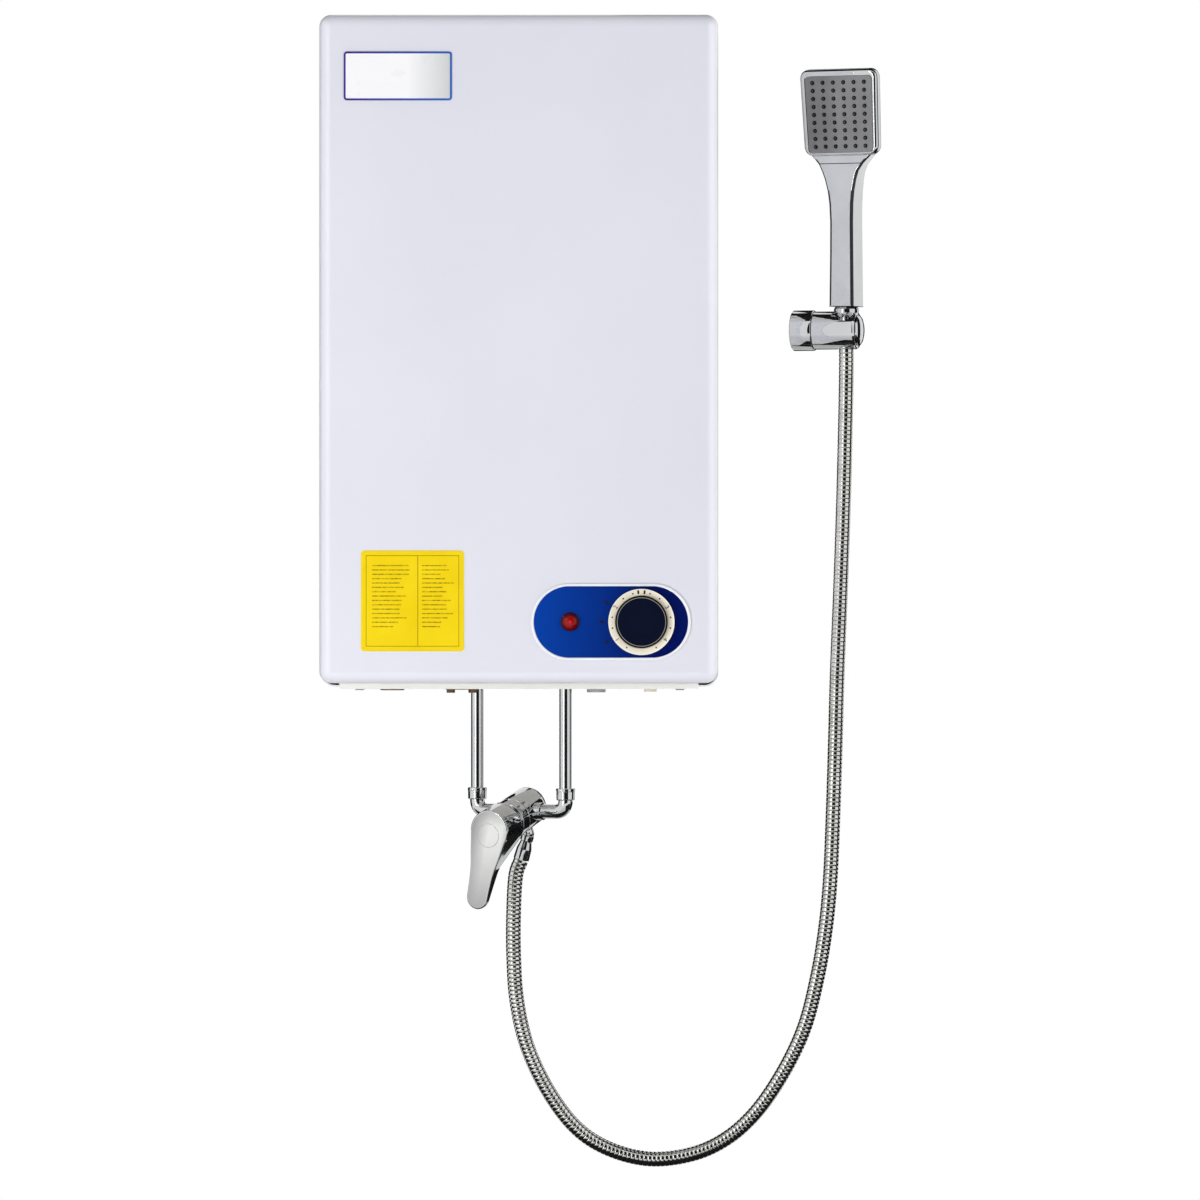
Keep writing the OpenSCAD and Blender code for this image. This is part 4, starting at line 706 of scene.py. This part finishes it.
def makeDial():
    p = dialPlan
    place = flatPlace(*p["middle"], p["base"])
    # the ring's cream carries painted shade at its inner edge
    cream = radialFinish("dialCream", p["middle"], p["creamsWithPaintedShade"], (0.3, 0.4), 0.0, 0.05)
    ring = turnSolid(p["ring"], place, 96, True)
    finishPiece("dialRing", ring, cream, "dial", ["dial_ring"], 50)

    (outer, low, edge), (bore, top) = p["ring"][2:]
    height = low + (outer - p["reach"]) / (outer - bore) * (top - low)   # of the slope under the marks

    def onRing(turn, out=0.0):
        return place @ turned(-turn, "Z") @ moved(0, p["reach"] + out, height) @ turned(p["tilt"], "X")

    def addMark(spot, half, corner, steps):
        liftFace(bm, addPlate(bm, half, corner, steps, spot), spot.to_3x3() @ Vector((0, 0, p["proud"])))

    bm = bmesh.new()
    for text, turn in p["numerals"].items():
        addNumeral(bm, text, onRing(turn))
    for turn in p["dots"]:
        addMark(onRing(turn), (0.8, 0.8), 0.78, 4)
    for turn in p["bars"]:
        addMark(onRing(turn, 0.4), (0.9, 1.8), 0.6, 3)
    finishPiece("dialMarks", bm, finishes["dialInk"], "dial", (), 30)

    # the cap's navy carries a painted highlight line and painted shade at its rim
    navy = radialFinish("dialNavy", p["middle"], p["naviesWithPaintedHighlightAndShade"], (0.34, 0.42), 0.0, 0.01)
    finishPiece("dialCap", turnSolid(p["cap"], place), navy, "dial", ["dial_cap"], 50)


makePanel()
makeLamp()
makeDial()
print("panel, lamp and dial made")


# Pipes, nuts and elbows down to the mixer
pipePlan = {
    "feet": {"cold": (-41.36, -84.25), "hot": (44.36, -135.75)}, "across": 12, "low": -425.25,
    "high": -260, "nutFlats": 17.5, "nutLow": -431, "nutHigh": -419.5, "nutSeat": -425.2, "nutTurn": 14,
    "elbowAcross": 14, "bend": 10, "reach": 25, "stub": 16.75, "axisZ": -442,
    "elbowTurns": {"cold": -31, "hot": 149},
}


def rod(radius, low, high, *edge):
    # profile of a plain round bar
    return [(0, low), (radius, low, *edge), (radius, high, *edge), (0, high)]


def makePipes():
    p = pipePlan
    for side, (x, y) in p["feet"].items():
        bar = turnSolid(rod(p["across"] / 2, p["low"], p["high"]), moved(x, y, 0), 64)
        chromePiece(side + "Pipe", bar, "heater", side + "_pipe", 35)

    low, high, seat, out = p["nutLow"], p["nutHigh"], p["nutSeat"], p["nutFlats"] / 2
    corner = (p["nutFlats"] + 0.5) / math.sqrt(3)
    rims = [(7.05, low), (out - 0.5, low), (out + 0.1, low + 0.8, 0.4), (out + 0.2, high - 3.4, 0.3),
            (out + 0.42, high - 3.1, 0.2), (out + 0.42, high - 0.7, 0.4), (out - 0.2, high), (6.05, high),
            (6.05, seat), (7.05, seat)]
    nuts = bmesh.new()
    for x, y in p["feet"].values():
        hexBar = bmesh.new()
        bmesh.ops.create_cone(hexBar, cap_ends=True, segments=6, radius1=corner, radius2=corner, depth=20,
                              matrix=moved(x, y, (low + high) / 2) @ turned(p["nutTurn"], "Z"))
        nut = joinSolids(hexBar, common=[turnSolid(rims, moved(x, y, 0), 96, True)])
        pour(nuts, meshOf("nut", nut), Matrix())
    chromePiece("pipeNuts", nuts, "heater", "pipe_nuts", 25, True)

    bend = p["bend"]
    turns = [math.radians(90 * k / 14) for k in range(15)]
    path = [(0, 0, p["stub"])] + [(bend - bend * math.cos(t), 0, bend - bend * math.sin(t)) for t in turns]
    path.append((p["reach"], 0, 0))
    bm = bmesh.new()
    for side, (x, y) in p["feet"].items():
        elbow = barMesh("elbow", [(point, p["elbowAcross"] / 2) for point in path], 10)
        pour(bm, elbow, moved(x, y, p["axisZ"]) @ turned(p["elbowTurns"][side], "Z"))
    chromePiece("inletElbows", bm, "heater", "inlet_elbows")


makePipes()
print("pipes made")


# Mixer: body with bosses, rear cap, bonnet, lever and hose nut
mixerPlan = {
    "r": 19, "rear": -15, "front": 16, "bossR": 8.5, "bossReach": 25, "outletZ": -5, "outletR": 5.2,
    "outletLow": 23, "ballR": 5.6, "outlet": (8.32, -98.64, -463.78),
    "hoseWay": (-0.2667, 0.1327, -0.9546), "dome": 13, "collarEnd": 28, "pivot": 36, "bonnetR": 18.7,
    "bonnetTop": 12.9, "bonnetBore": 12,
    "hoseNut": [(0, 1.5), (5.6, 1.5), (6.2, 2.0, 0.3), (6.2, 7.2, 0.4), (5.4, 7.8), (5.5, 8.6, 0.2),
        (7.3, 15.5, 0.8), (7.7, 26.3, 0.4), (0, 26.3)],
}
leverPlan = {
    "skirtR": 21.8, "skirtH": 5.5, "hollowR": 19, "head": (4.6, 20.0), "capR": 11.5, "edge": 1.5,
    "plate": 2.6, "tip": (-62.4, 11.2), "inside": 0.25,
    "arm": [(-2.5, 18.7), (-8.5, 17.7), (-15, 16.6), (-20, 15.7), (-25, 14.7), (-30, 13.7), (-35, 12.9),
        (-40, 12.3), (-50, 11.6), (-62.4, 11.2)],
    "discs": [(-24, 14.6, 12.6), (-33, 12.9, 11.8), (-44, 11.8, 10.6), (-62.4, 10.9, 7.4)],
}


def ballSolid(radius, place):
    bm = bmesh.new()
    bmesh.ops.create_uvsphere(bm, u_segments=64, v_segments=32, radius=radius, matrix=place)
    return bm


def makeMixer():
    p = mixerPlan
    r, rear, front, collar, pivot = p["r"], p["rear"], p["front"], p["collarEnd"], p["pivot"]
    boss, reach, out, low = p["bossR"], p["bossReach"], p["outletR"], p["outletLow"]
    body = turnSolid(rod(r, rear, front, 0.5), mixerFrame)
    bosses = turnSolid(rod(boss, -reach, reach, 0.4), mixerFrame @ turned(90, "Y"), 64)
    outlet = turnSolid(rod(out, 0, low), mixerFrame @ moved(0, 0, p["outletZ"]) @ turned(90, "X"), 64)
    ball = ballSolid(p["ballR"], moved(*p["outlet"]))
    body = joinSolids(body, [bosses, outlet, ball])
    chromePiece("mixerBody", body, "heater", "mixer_body", 32)

    big = (r ** 2 + p["dome"] ** 2) / (2 * p["dome"])
    span = math.asin(r / big)
    middle = rear - 0.3 - p["dome"] + big
    dome = [(big * math.sin(span * k / 16), middle - big * math.cos(span * k / 16)) for k in range(16)]
    dome += [(r - 0.2, rear - 0.7), (r - 0.6, rear - 0.15), (0, rear - 0.15)]
    chromePiece("rearCap", turnSolid(dome, mixerFrame), "heater", "rear_cap", 50)

    bonnet = [(p["bonnetBore"], front + 0.15), (r - 0.5, front + 0.15), (r, front + 0.65), (r, collar, 0.7)]
    for k in range(17):
        z = (collar - pivot) + (p["bonnetTop"] + pivot - collar) * k / 16
        bonnet.append((math.sqrt(p["bonnetR"] ** 2 - z * z), pivot + z))
    bonnet.append((p["bonnetBore"], bonnet[-1][1]))
    chromePiece("bonnet", turnSolid(bonnet, mixerFrame, 96, True), "heater", "bonnet")

    along = Vector(p["hoseWay"]).to_track_quat("Z", "Y").to_matrix().to_4x4()
    chromePiece("hoseNut", turnSolid(p["hoseNut"], moved(*p["outlet"]) @ along, 72), "heater", "hose_nut")


def addCircle(bm, radius, place):
    bmesh.ops.create_circle(bm, cap_ends=False, segments=96, radius=radius, matrix=place)


def addDisc(bm, v, radius, top, thick):
    # rings of a disc under the lever's face, rounded off below
    place = leverFace @ moved(0, v, 0)
    for shrink, depth in ((0, top), (0, thick - 1.6), (0.4, thick - 0.5), (1.4, thick)):
        addCircle(bm, radius - leverPlan["inside"] - shrink, place @ moved(0, 0, -depth))


def hullOf(bm):
    made = bmesh.ops.convex_hull(bm, input=bm.verts[:])
    spare = [e for e in made["geom_interior"] + made["geom_unused"] if isinstance(e, bmesh.types.BMVert)]
    bmesh.ops.delete(bm, geom=list(set(spare)), context="VERTS")
    bmesh.ops.dissolve_limit(bm, angle_limit=math.radians(0.02), verts=bm.verts[:], edges=bm.edges[:])
    return bm


def faceOutline():
    # round head, waisted arm and round tip, as half widths along the lever
    p = leverPlan
    centre, big = p["head"]
    tipAt, small = p["tip"]
    join = math.acos((p["arm"][0][0] - centre) / big)
    half = [(big * math.sin(join * k / 30), centre + big * math.cos(join * k / 30)) for k in range(30)]
    for (v, a), (w, b) in zip(p["arm"], p["arm"][1:]):
        half += [(a + (b - a) * k / 4, v + (w - v) * k / 4) for k in range(4)]
    turns = [math.pi * k / 48 for k in range(25)]
    half += [(small * math.cos(t), tipAt - small * math.sin(t)) for t in turns]
    return [(-u, v) for u, v in half] + half[-2:0:-1]


def leverFinish():
    # brushed face with a painted reflection, paler along its middle than at its rim
    n = Nodes("leverSatinPaintedSheen")
    spot = n.apart()
    x, z = spot["X"], spot["Z"]
    across = n.math("SUBTRACT", n.math("SUBTRACT", x, n.times(z, 0.1815)), 0.0543)
    middle = n.times(n.ranged(across, -0.015, 0.0), n.ranged(across, 0.022, 0.013))
    paintedSheen = n.times(n.ranged(z, -0.535, -0.47, 0.12, 1.0), n.ranged(z, -0.438, -0.456, 0.15, 1.0))
    paintedSheen = n.times(n.times(middle, paintedSheen), n.uneven(90, 3, 0.9, 1.0))
    n.set(Base_Color=n.mix(paintedSheen, tone(164, 165, 164), tone(236, 236, 235)), Metallic=1.0)
    n.set(Roughness=n.ranged(n.noise(60, 5), 0.25, 0.75, 0.14, 0.2))
    n.bump(n.noise(1.0, 3, n.mapped((900, 900, 90))), 0.05, 0.0002)
    return n.material


def makeLever():
    p = leverPlan
    centre, big = p["head"]
    outward = leverFace.to_3x3() @ Vector((0, 0, 1))
    bm = bmesh.new()
    face = bm.faces.new([bm.verts.new(leverFace @ Vector((u, v, -p["plate"]))) for u, v in faceOutline()])
    face = liftFace(bm, face, outward * p["plate"])
    roundEdges(bm, face.edges[:], p["edge"], 4)

    head = bmesh.new()
    for radius, z in ((p["skirtR"] - 0.5, 0), (p["skirtR"], 0.5), (p["skirtR"], p["skirtH"])):
        addCircle(head, radius, leverFrame @ moved(0, 0, z))
    addDisc(head, centre, big, 1.0, 4)
    v, r, thick = p["discs"][0]
    addDisc(head, v, r, 1.0, thick)
    hulls = [hullOf(head)]
    for k, pair in enumerate(zip(p["discs"], p["discs"][1:])):
        link = bmesh.new()
        for v, r, thick in pair:
            addDisc(link, v, r, 1.15 + 0.15 * k, thick)
        hulls.append(hullOf(link))
    hollow = ballSolid(p["hollowR"], leverFrame)
    pocket = turnSolid(rod(p["capR"] + 0.12, -1.6, 3), leverFace)
    done = joinSolids(bm, hulls, [hollow, pocket])
    done.normal_update()
    for f in done.faces:
        f.material_index = int(f.normal.dot(outward) < 0.99)
    # the lever's face and its cap take this painted reflection
    paintedSheenSatin = leverFinish()
    finishPiece("leverHandle", done, [paintedSheenSatin, finishes["brightChrome"]], "lever", ["lever_handle"],
                34, True)
    r = p["capR"]
    bm = turnSolid([(0, -1.5), (r, -1.5), (r, 0.3, 0.25), (0, 0.3)], leverFace)
    finishPiece("leverCap", bm, paintedSheenSatin, "lever", ["lever_cap"], 40, True)


makeMixer()
makeLever()
print("mixer and lever made")


# Wall holder: foot, fixed barrel, swivelling barrel and its cap
holderPlan = {
    "footAt": (280.05, 0, 24), "axis": (317, -60, 0), "slot": 15.0, "lip": (-12.0, 8.2, 4.2, 12.5),
    "foot": [(0, 0), (15, 0), (15, 7, 1.4), (9, 7, 1.0), (9, 50.1), (0, 50.1)],
    "base": [(0, -53), (19.7, -53, 1.6), (19.7, -31.6, 0.7), (7, -31.6), (7, -19.5), (0, -19.5)],
    "swivel": [(0, -19.2), (7.3, -19.2), (7.3, -31.3), (18.5, -31.3, 0.7), (18.5, 9.6, 0.6),
        (17.4, 11.6, 0.4), (0, 11.6)],
    "cap": [(0, 11.7), (14.6, 11.7), (15.3, 12.2, 0.3), (14.6, 13.4), (12.4, 15.0), (8.4, 16.3),
        (4.2, 16.9), (0, 17.1)],
    "socket": [(0, 0), (8.0, 0), (9.7, 48), (0, 48)],
    "nut": [(0, 6), (7.7, 6, 0.5), (8.5, 27, 0.2), (8.1, 27.5), (8.1, 28.1), (8.9, 28.6, 0.2),
        (8.9, 31.0, 0.2), (8.3, 31.5), (8.3, 32.1), (9.1, 32.6, 0.2), (9.1, 35.0, 0.2), (8.5, 35.5),
        (8.5, 36.1), (10.8, 38.2, 0.4), (12.2, 41.0, 0.5), (12.2, 44.6, 0.6), (11.2, 46.4), (0, 46.4)],
}


def makeHolder():
    p = holderPlan
    foot = turnSolid(p["foot"], moved(*p["footAt"]) @ faceFrame, 80)
    chromePiece("holderFoot", foot, "heater", "holder_foot")
    chromePiece("baseBarrel", turnSolid(p["base"], barrelTurn), "heater", "base_barrel")

    axis = moved(*p["axis"])
    slot = bmesh.new()
    addBlock(slot, (p["slot"], 30, 60), (0, 15, 0))
    bmesh.ops.transform(slot, matrix=barrelFrame, verts=slot.verts[:])
    back, low, narrow, wide = p["lip"]
    lip = turnSolid([(0, low), (narrow, low), (wide, low + 12), (0, low + 12)],
                    barrelFrame @ moved(0, back, 0), 64)
    swivel = joinSolids(turnSolid(p["swivel"], barrelTurn), cuts=[turnSolid(p["socket"], axis), slot, lip])
    chromePiece("swivelBarrel", swivel, "holder", "swivel_barrel", 32)
    chromePiece("holderCap", turnSolid(p["cap"], barrelTurn), "holder", "holder_cap")
    chromePiece("coneNut", turnSolid(p["nut"], axis, 72), "hose_end", "cone_nut")


makeHolder()
print("holder made")


# Hand shower: handle flaring into a flat head, with its spray plate and nozzles
showerPlan = {
    "slices": [(0, 12.6, 14.3, 0), (20, 12.4, 14.2, 0), (50, 12.1, 14.1, 0), (82, 11.9, 14.0, -0.3),
        (100, 12.5, 13.8, -1.2), (112, 13.9, 13.2, -2.6), (123, 16.3, 12.0, -4.8), (131, 19, 10.8, -6.8),
        (138, 23, 8.8, -7.0), (143, 27.5, 7.6, -7.2), (147, 31.5, 7.0, -7.2), (150.5, 33.6, 6.5, -7.2)],
    "corner": 2.6, "footEdge": 0.8, "paintedDarkBelow": 143, "head": (40.6, 42.0), "headAt": (1.9, 40.8),
    "headHigh": 83, "thick": 17, "headCorner": 9, "rim": 3.6, "back": 9.5, "plate": (35.2, 37.4),
    "plateAt": (2.2, 38.9), "plateCorner": 5, "plateThick": 2, "plateEdge": 0.3, "columns": 6, "rows": 9,
    "pitch": (10.9, 7.75), "taper": 0.05, "grooveZ": 138.5, "groove": (60, 1.6, 0.8),
    "nozzle": [(0, -0.2), (2.2, -0.2), (2.0, 0.7), (1.0, 1.0), (0, 0.8)],
}


def narrowed(bm):
    # the head is a little narrower at its foot
    inward = headFrame.inverted()
    for v in bm.verts:
        spot = inward @ v.co
        spot.x *= 1 - showerPlan["taper"] * (1 - spot.z / showerPlan["headHigh"])
        v.co = headFrame @ spot
    return bm


def makeShower():
    p = showerPlan
    handle = bmesh.new()
    addLoft(handle, p["slices"], p["corner"], handFrame, 6)
    inward = handFrame.inverted()
    foot = [e for e in handle.edges if all((inward @ v.co).z < 0.01 for v in e.verts)]
    roundEdges(handle, foot, p["footEdge"], 3)
    handle.normal_update()
    for f in handle.faces:
        # a painted dark reflection: the dark line where the handle's front turns into its sides
        way, height = inward.to_3x3() @ f.normal, (inward @ f.calc_center_median()).z
        f.material_index = int(way.y < -0.1 and abs(way.x) > 0.13 and height < p["paintedDarkBelow"])

    thick, outward = p["thick"], headFrame.to_3x3()
    back = headFrame @ moved(p["headAt"][0], thick / 2, p["headAt"][1]) @ faceFrame
    head, face = plateSolid(p["head"], p["headCorner"], 10, back, outward @ Vector((0, -thick, 0)))
    roundEdges(head, face.edges[:], p["rim"], 6)
    rear = max(head.faces, key=lambda f: (headFrame.inverted() @ f.calc_center_median()).y)
    roundEdges(head, rear.edges[:], p["back"], 8)

    groove = bmesh.new()
    addBlock(groove, p["groove"], (0, 0, 0))
    front = next(y - deep for z, wide, deep, y in p["slices"] if z >= p["grooveZ"] - 1)
    bmesh.ops.transform(groove, matrix=handFrame @ moved(0, front, p["grooveZ"]), verts=groove.verts[:])
    # painted shade: the groove's faces take the black finish, a dark line in the groove
    for f in groove.faces:
        f.material_index = 1
    plate = headFrame @ moved(p["plateAt"][0], -thick / 2 + p["plateThick"], p["plateAt"][1]) @ faceFrame
    wide = (p["plate"][0] + 0.6, p["plate"][1] + 0.6)
    sink = outward @ Vector((0, -6, 0))
    recess = plateSolid(wide, p["plateCorner"], 6, plate @ moved(0, 0, -0.1), sink)[0]
    done = joinSolids(narrowed(head), [handle], [narrowed(recess), groove])
    bmesh.ops.dissolve_limit(done, angle_limit=math.radians(0.3), use_dissolve_boundaries=False,
                             verts=done.verts[:], edges=done.edges[:], delimit={"MATERIAL"})
    # the shell's second finish, black, is the painted dark reflection on the handle and the painted shade in
    # the groove
    finishPiece("handsetShell", done, [finishes["brightChrome"], finishes["blackMouldingAndPaintedDark"]], "handset",
                ["handset_shell"], 34, True)

    rise = outward @ Vector((0, p["plateEdge"] - p["plateThick"], 0))
    bm, face = plateSolid(p["plate"], p["plateCorner"], 6, plate, rise)
    insetFace(bm, face, p["plateEdge"], p["plateEdge"])
    finishPiece("facePlate", narrowed(bm), finishes["sprayPlate"], "handset",
                ["face_plate"], 30)

    bm = bmesh.new()
    for i in range(p["columns"]):
        for k in range(p["rows"]):
            x, y = (i - (p["columns"] - 1) / 2) * p["pitch"][0], (k - (p["rows"] - 1) / 2) * p["pitch"][1]
            turnProfile(bm, p["nozzle"], plate @ moved(x, y, p["plateThick"]), 12)
    for f in bm.faces:
        if len(f.verts) == 3:
            f.material_index = 1
    finishPiece("sprayNozzles", narrowed(bm), [finishes["nozzleDark"], finishes["nozzlePale"]], "handset",
                ["spray_nozzles"], 40)


makeShower()
print("hand shower made")


# Frame solids that stay in sight or sit inside, each with its own finish
nodeFinishes = {
    "zincCoat": ["wall_rails"],
    "rearPaint": ["rear_casing"],
    "platePaint": ["bottom_plate"],
    "screwSteel": ["casing_screws", "stem_pin", "lever_screw", "grub_screw", "dial_shaft"],
    "tankSteel": ["tank_left", "tank_right", "link_tubes"],
    "foamFill": ["foam_rear", "foam_front"],
    "copperTube": ["element_rod", "cold_branch", "hot_tube", "sensor_bulb"],
    "agedBrass": ["earth_terminal", "cold_inlet"],
    "castBrass": ["element_flange", "lever_stem"],
    "softRubber": ["flange_gasket"],
    "greyMagnesium": ["anode_rod"],
    "paleMoulding": ["thermostat", "terminal_block", "cartridge", "cartridge_carrier", "reset_button"],
    "blackMouldingAndPaintedDark": ["cutout", "lamp_body"],
    "wireJacket": ["wire_harness"],
    "greyMoulding": ["cable_gland"],
}
for finishName, members in nodeFinishes.items():
    for member in members:
        coats = nodes[member].data.materials
        coats.clear()
        coats.append(finishes[finishName])
print("frame solids finished")


# Turned-up front edge of the bottom plate, which closes the slit under the cover
lipPlan = {"size": (344, 1.4, 5.2), "middle": (0, -189.2, -320.3), "edge": 0.4}
lip = bmesh.new()
addBlock(lip, lipPlan["size"], lipPlan["middle"])
roundEdges(lip, lip.edges[:], lipPlan["edge"], 2)
finishPiece("plateLip", lip, finishes["platePaint"], "heater", (), 40)
print("plate lip made")


# Stage: floor, dark cards for the chrome, lamps and white surroundings
stagePlan = {
    "floorZ": -1.04, "floorHalf": 14.0, "paleFrom": 0.6, "paleTo": 2.4, "floorTone": (244, 244, 245),
    "cardHigh": (-3.0, 3.0), "cardLowZ": -1.03, "worldLight": 0.50,
}


def stageMesh(name, corners, material):
    bm = bmesh.new()
    bm.faces.new([bm.verts.new(c) for c in corners])
    made = linked(name, meshOf(name, bm))
    made.data.materials.append(material)
    return made


def whiteRays(tree):
    # 1 for rays that should see white: from the camera, off metal and through glass
    path = tree.nodes.new("ShaderNodeLightPath")
    total = path.outputs["Is Camera Ray"]
    for other in ("Is Glossy Ray", "Is Transmission Ray"):
        step = tree.nodes.new("ShaderNodeMath")
        step.operation = "MAXIMUM"
        tree.links.new(total, step.inputs[0])
        tree.links.new(path.outputs[other], step.inputs[1])
        total = step.outputs["Value"]
    return total


def makeFloor():
    n = Nodes("paleFloor")
    n.set(Base_Color=tone(*stagePlan["floorTone"]), Roughness=0.8, Specular_IOR_Level=0.0)
    far = n.new("VectorMath")
    far.operation = "LENGTH"
    n.link(n.mapped((1, 1, 0)), far.inputs[0])
    away = n.ranged(far.outputs["Value"], stagePlan["paleFrom"], stagePlan["paleTo"])
    glow = n.new("Emission")
    blend = n.new("MixShader")
    n.link(n.times(away, whiteRays(n.tree)), blend.inputs["Fac"])
    n.link(n.shader.outputs["BSDF"], blend.inputs[1])
    n.link(glow.outputs["Emission"], blend.inputs[2])
    n.link(blend.outputs["Shader"], n.out.inputs["Surface"])
    h, z = stagePlan["floorHalf"], stagePlan["floorZ"]
    stageMesh("floor", [(-h, -h, z), (h, -h, z), (h, h, z), (-h, h, z)], n.material)


def makeCards():
    # black cards out of the camera's sight, which give the chrome its dark bands
    n = Nodes("blackCard")
    n.set(Base_Color=(0.006, 0.006, 0.007, 1), Roughness=0.9)
    high, low = stagePlan["cardHigh"], stagePlan["cardLowZ"]
    upright = {
        "cardFront": ((-0.85, -3.2), (2.1, -3.2), *high),
        "cardBackLeft": ((-3.2, 0.5), (-0.30, 1.6), *high),
        "cardBackRight": ((0.10, 1.6), (1.15, 1.5), *high),
        "cardRight": ((2.2, -0.3), (2.2, 1.1), *high),
        "cardBackLow": ((0.9, 1.5), (2.2, 1.0), low, -0.55),
    }
    level = {
        "cardTop": (2.4, (-2.6, -1.7), (3.0, -1.7), (3.0, 1.3), (-2.6, 1.3)),
        "cardLowRight": (low, (0.3, -1.5), (2.4, -1.5), (2.4, -0.55), (0.3, -0.55)),
        "cardLowFar": (low, (0.9, 0.24), (2.3, 0.24), (2.3, 1.0), (0.9, 1.5)),
        "cardLow": (low, (-2.0, -0.55), (2.4, -0.55), (2.4, 0.24), (-2.0, 0.24)),
    }
    cards = {name: [(*a, foot), (*b, foot), (*b, top), (*a, top)]
             for name, (a, b, foot, top) in upright.items()}
    cards.update({name: [(*c, z) for c in corners] for name, (z, *corners) in level.items()})
    for name, corners in cards.items():
        made = stageMesh(name, corners, n.material)
        made.visible_camera = made.visible_shadow = made.visible_diffuse = False


def addLamp(name, place, aim, size, power, colour=(1, 1, 1), mirrored=False):
    lamp = bpy.data.lights.new(name, "AREA")
    lamp.shape, lamp.size, lamp.size_y = "RECTANGLE", size[0], size[1]
    lamp.energy, lamp.color = power, colour
    made = linked(name, lamp)
    made.location = place
    made.visible_glossy = mirrored       # most are kept out of the chrome, which mirrors the cards
    made.rotation_euler = (Vector(aim) - Vector(place)).to_track_quat("-Z", "Y").to_euler()


def makeWorld():
    scene.world = world = bpy.data.worlds.new("whiteSurround")
    world.use_nodes = True
    tree = world.node_tree
    ground = tree.nodes["Background"]
    ground.inputs["Color"].default_value = (1, 1, 1, 1)
    level = tree.nodes.new("ShaderNodeMapRange")
    tree.links.new(whiteRays(tree), level.inputs["Value"])
    level.inputs["To Min"].default_value = stagePlan["worldLight"]
    tree.links.new(level.outputs["Result"], ground.inputs["Strength"])


makeFloor()
makeCards()
makeWorld()
addLamp("keyLamp", (-1.25, -2.3, -0.95), (0.0, -0.1, -0.1), (1.4, 1.0), 41)
addLamp("fillLamp", (3.0, -2.4, 0.0), (0.15, -0.1, -0.2), (1.6, 2.4), 20)
addLamp("sideLamp", (2.4, -0.12, 0.1), (0.2, -0.12, 0.05), (0.5, 1.8), 28, (1.0, 0.985, 0.93))
addLamp("edgeLamp", (-2.0, -2.9, -0.1), (-0.19, -0.2, 0.0), (0.16, 3.2), 15, mirrored=True)
addLamp("lowLamp", (-0.6, -4.0, -0.7), (0.0, -0.2, -0.2), (2.4, 0.5), 7)
print("stage set")
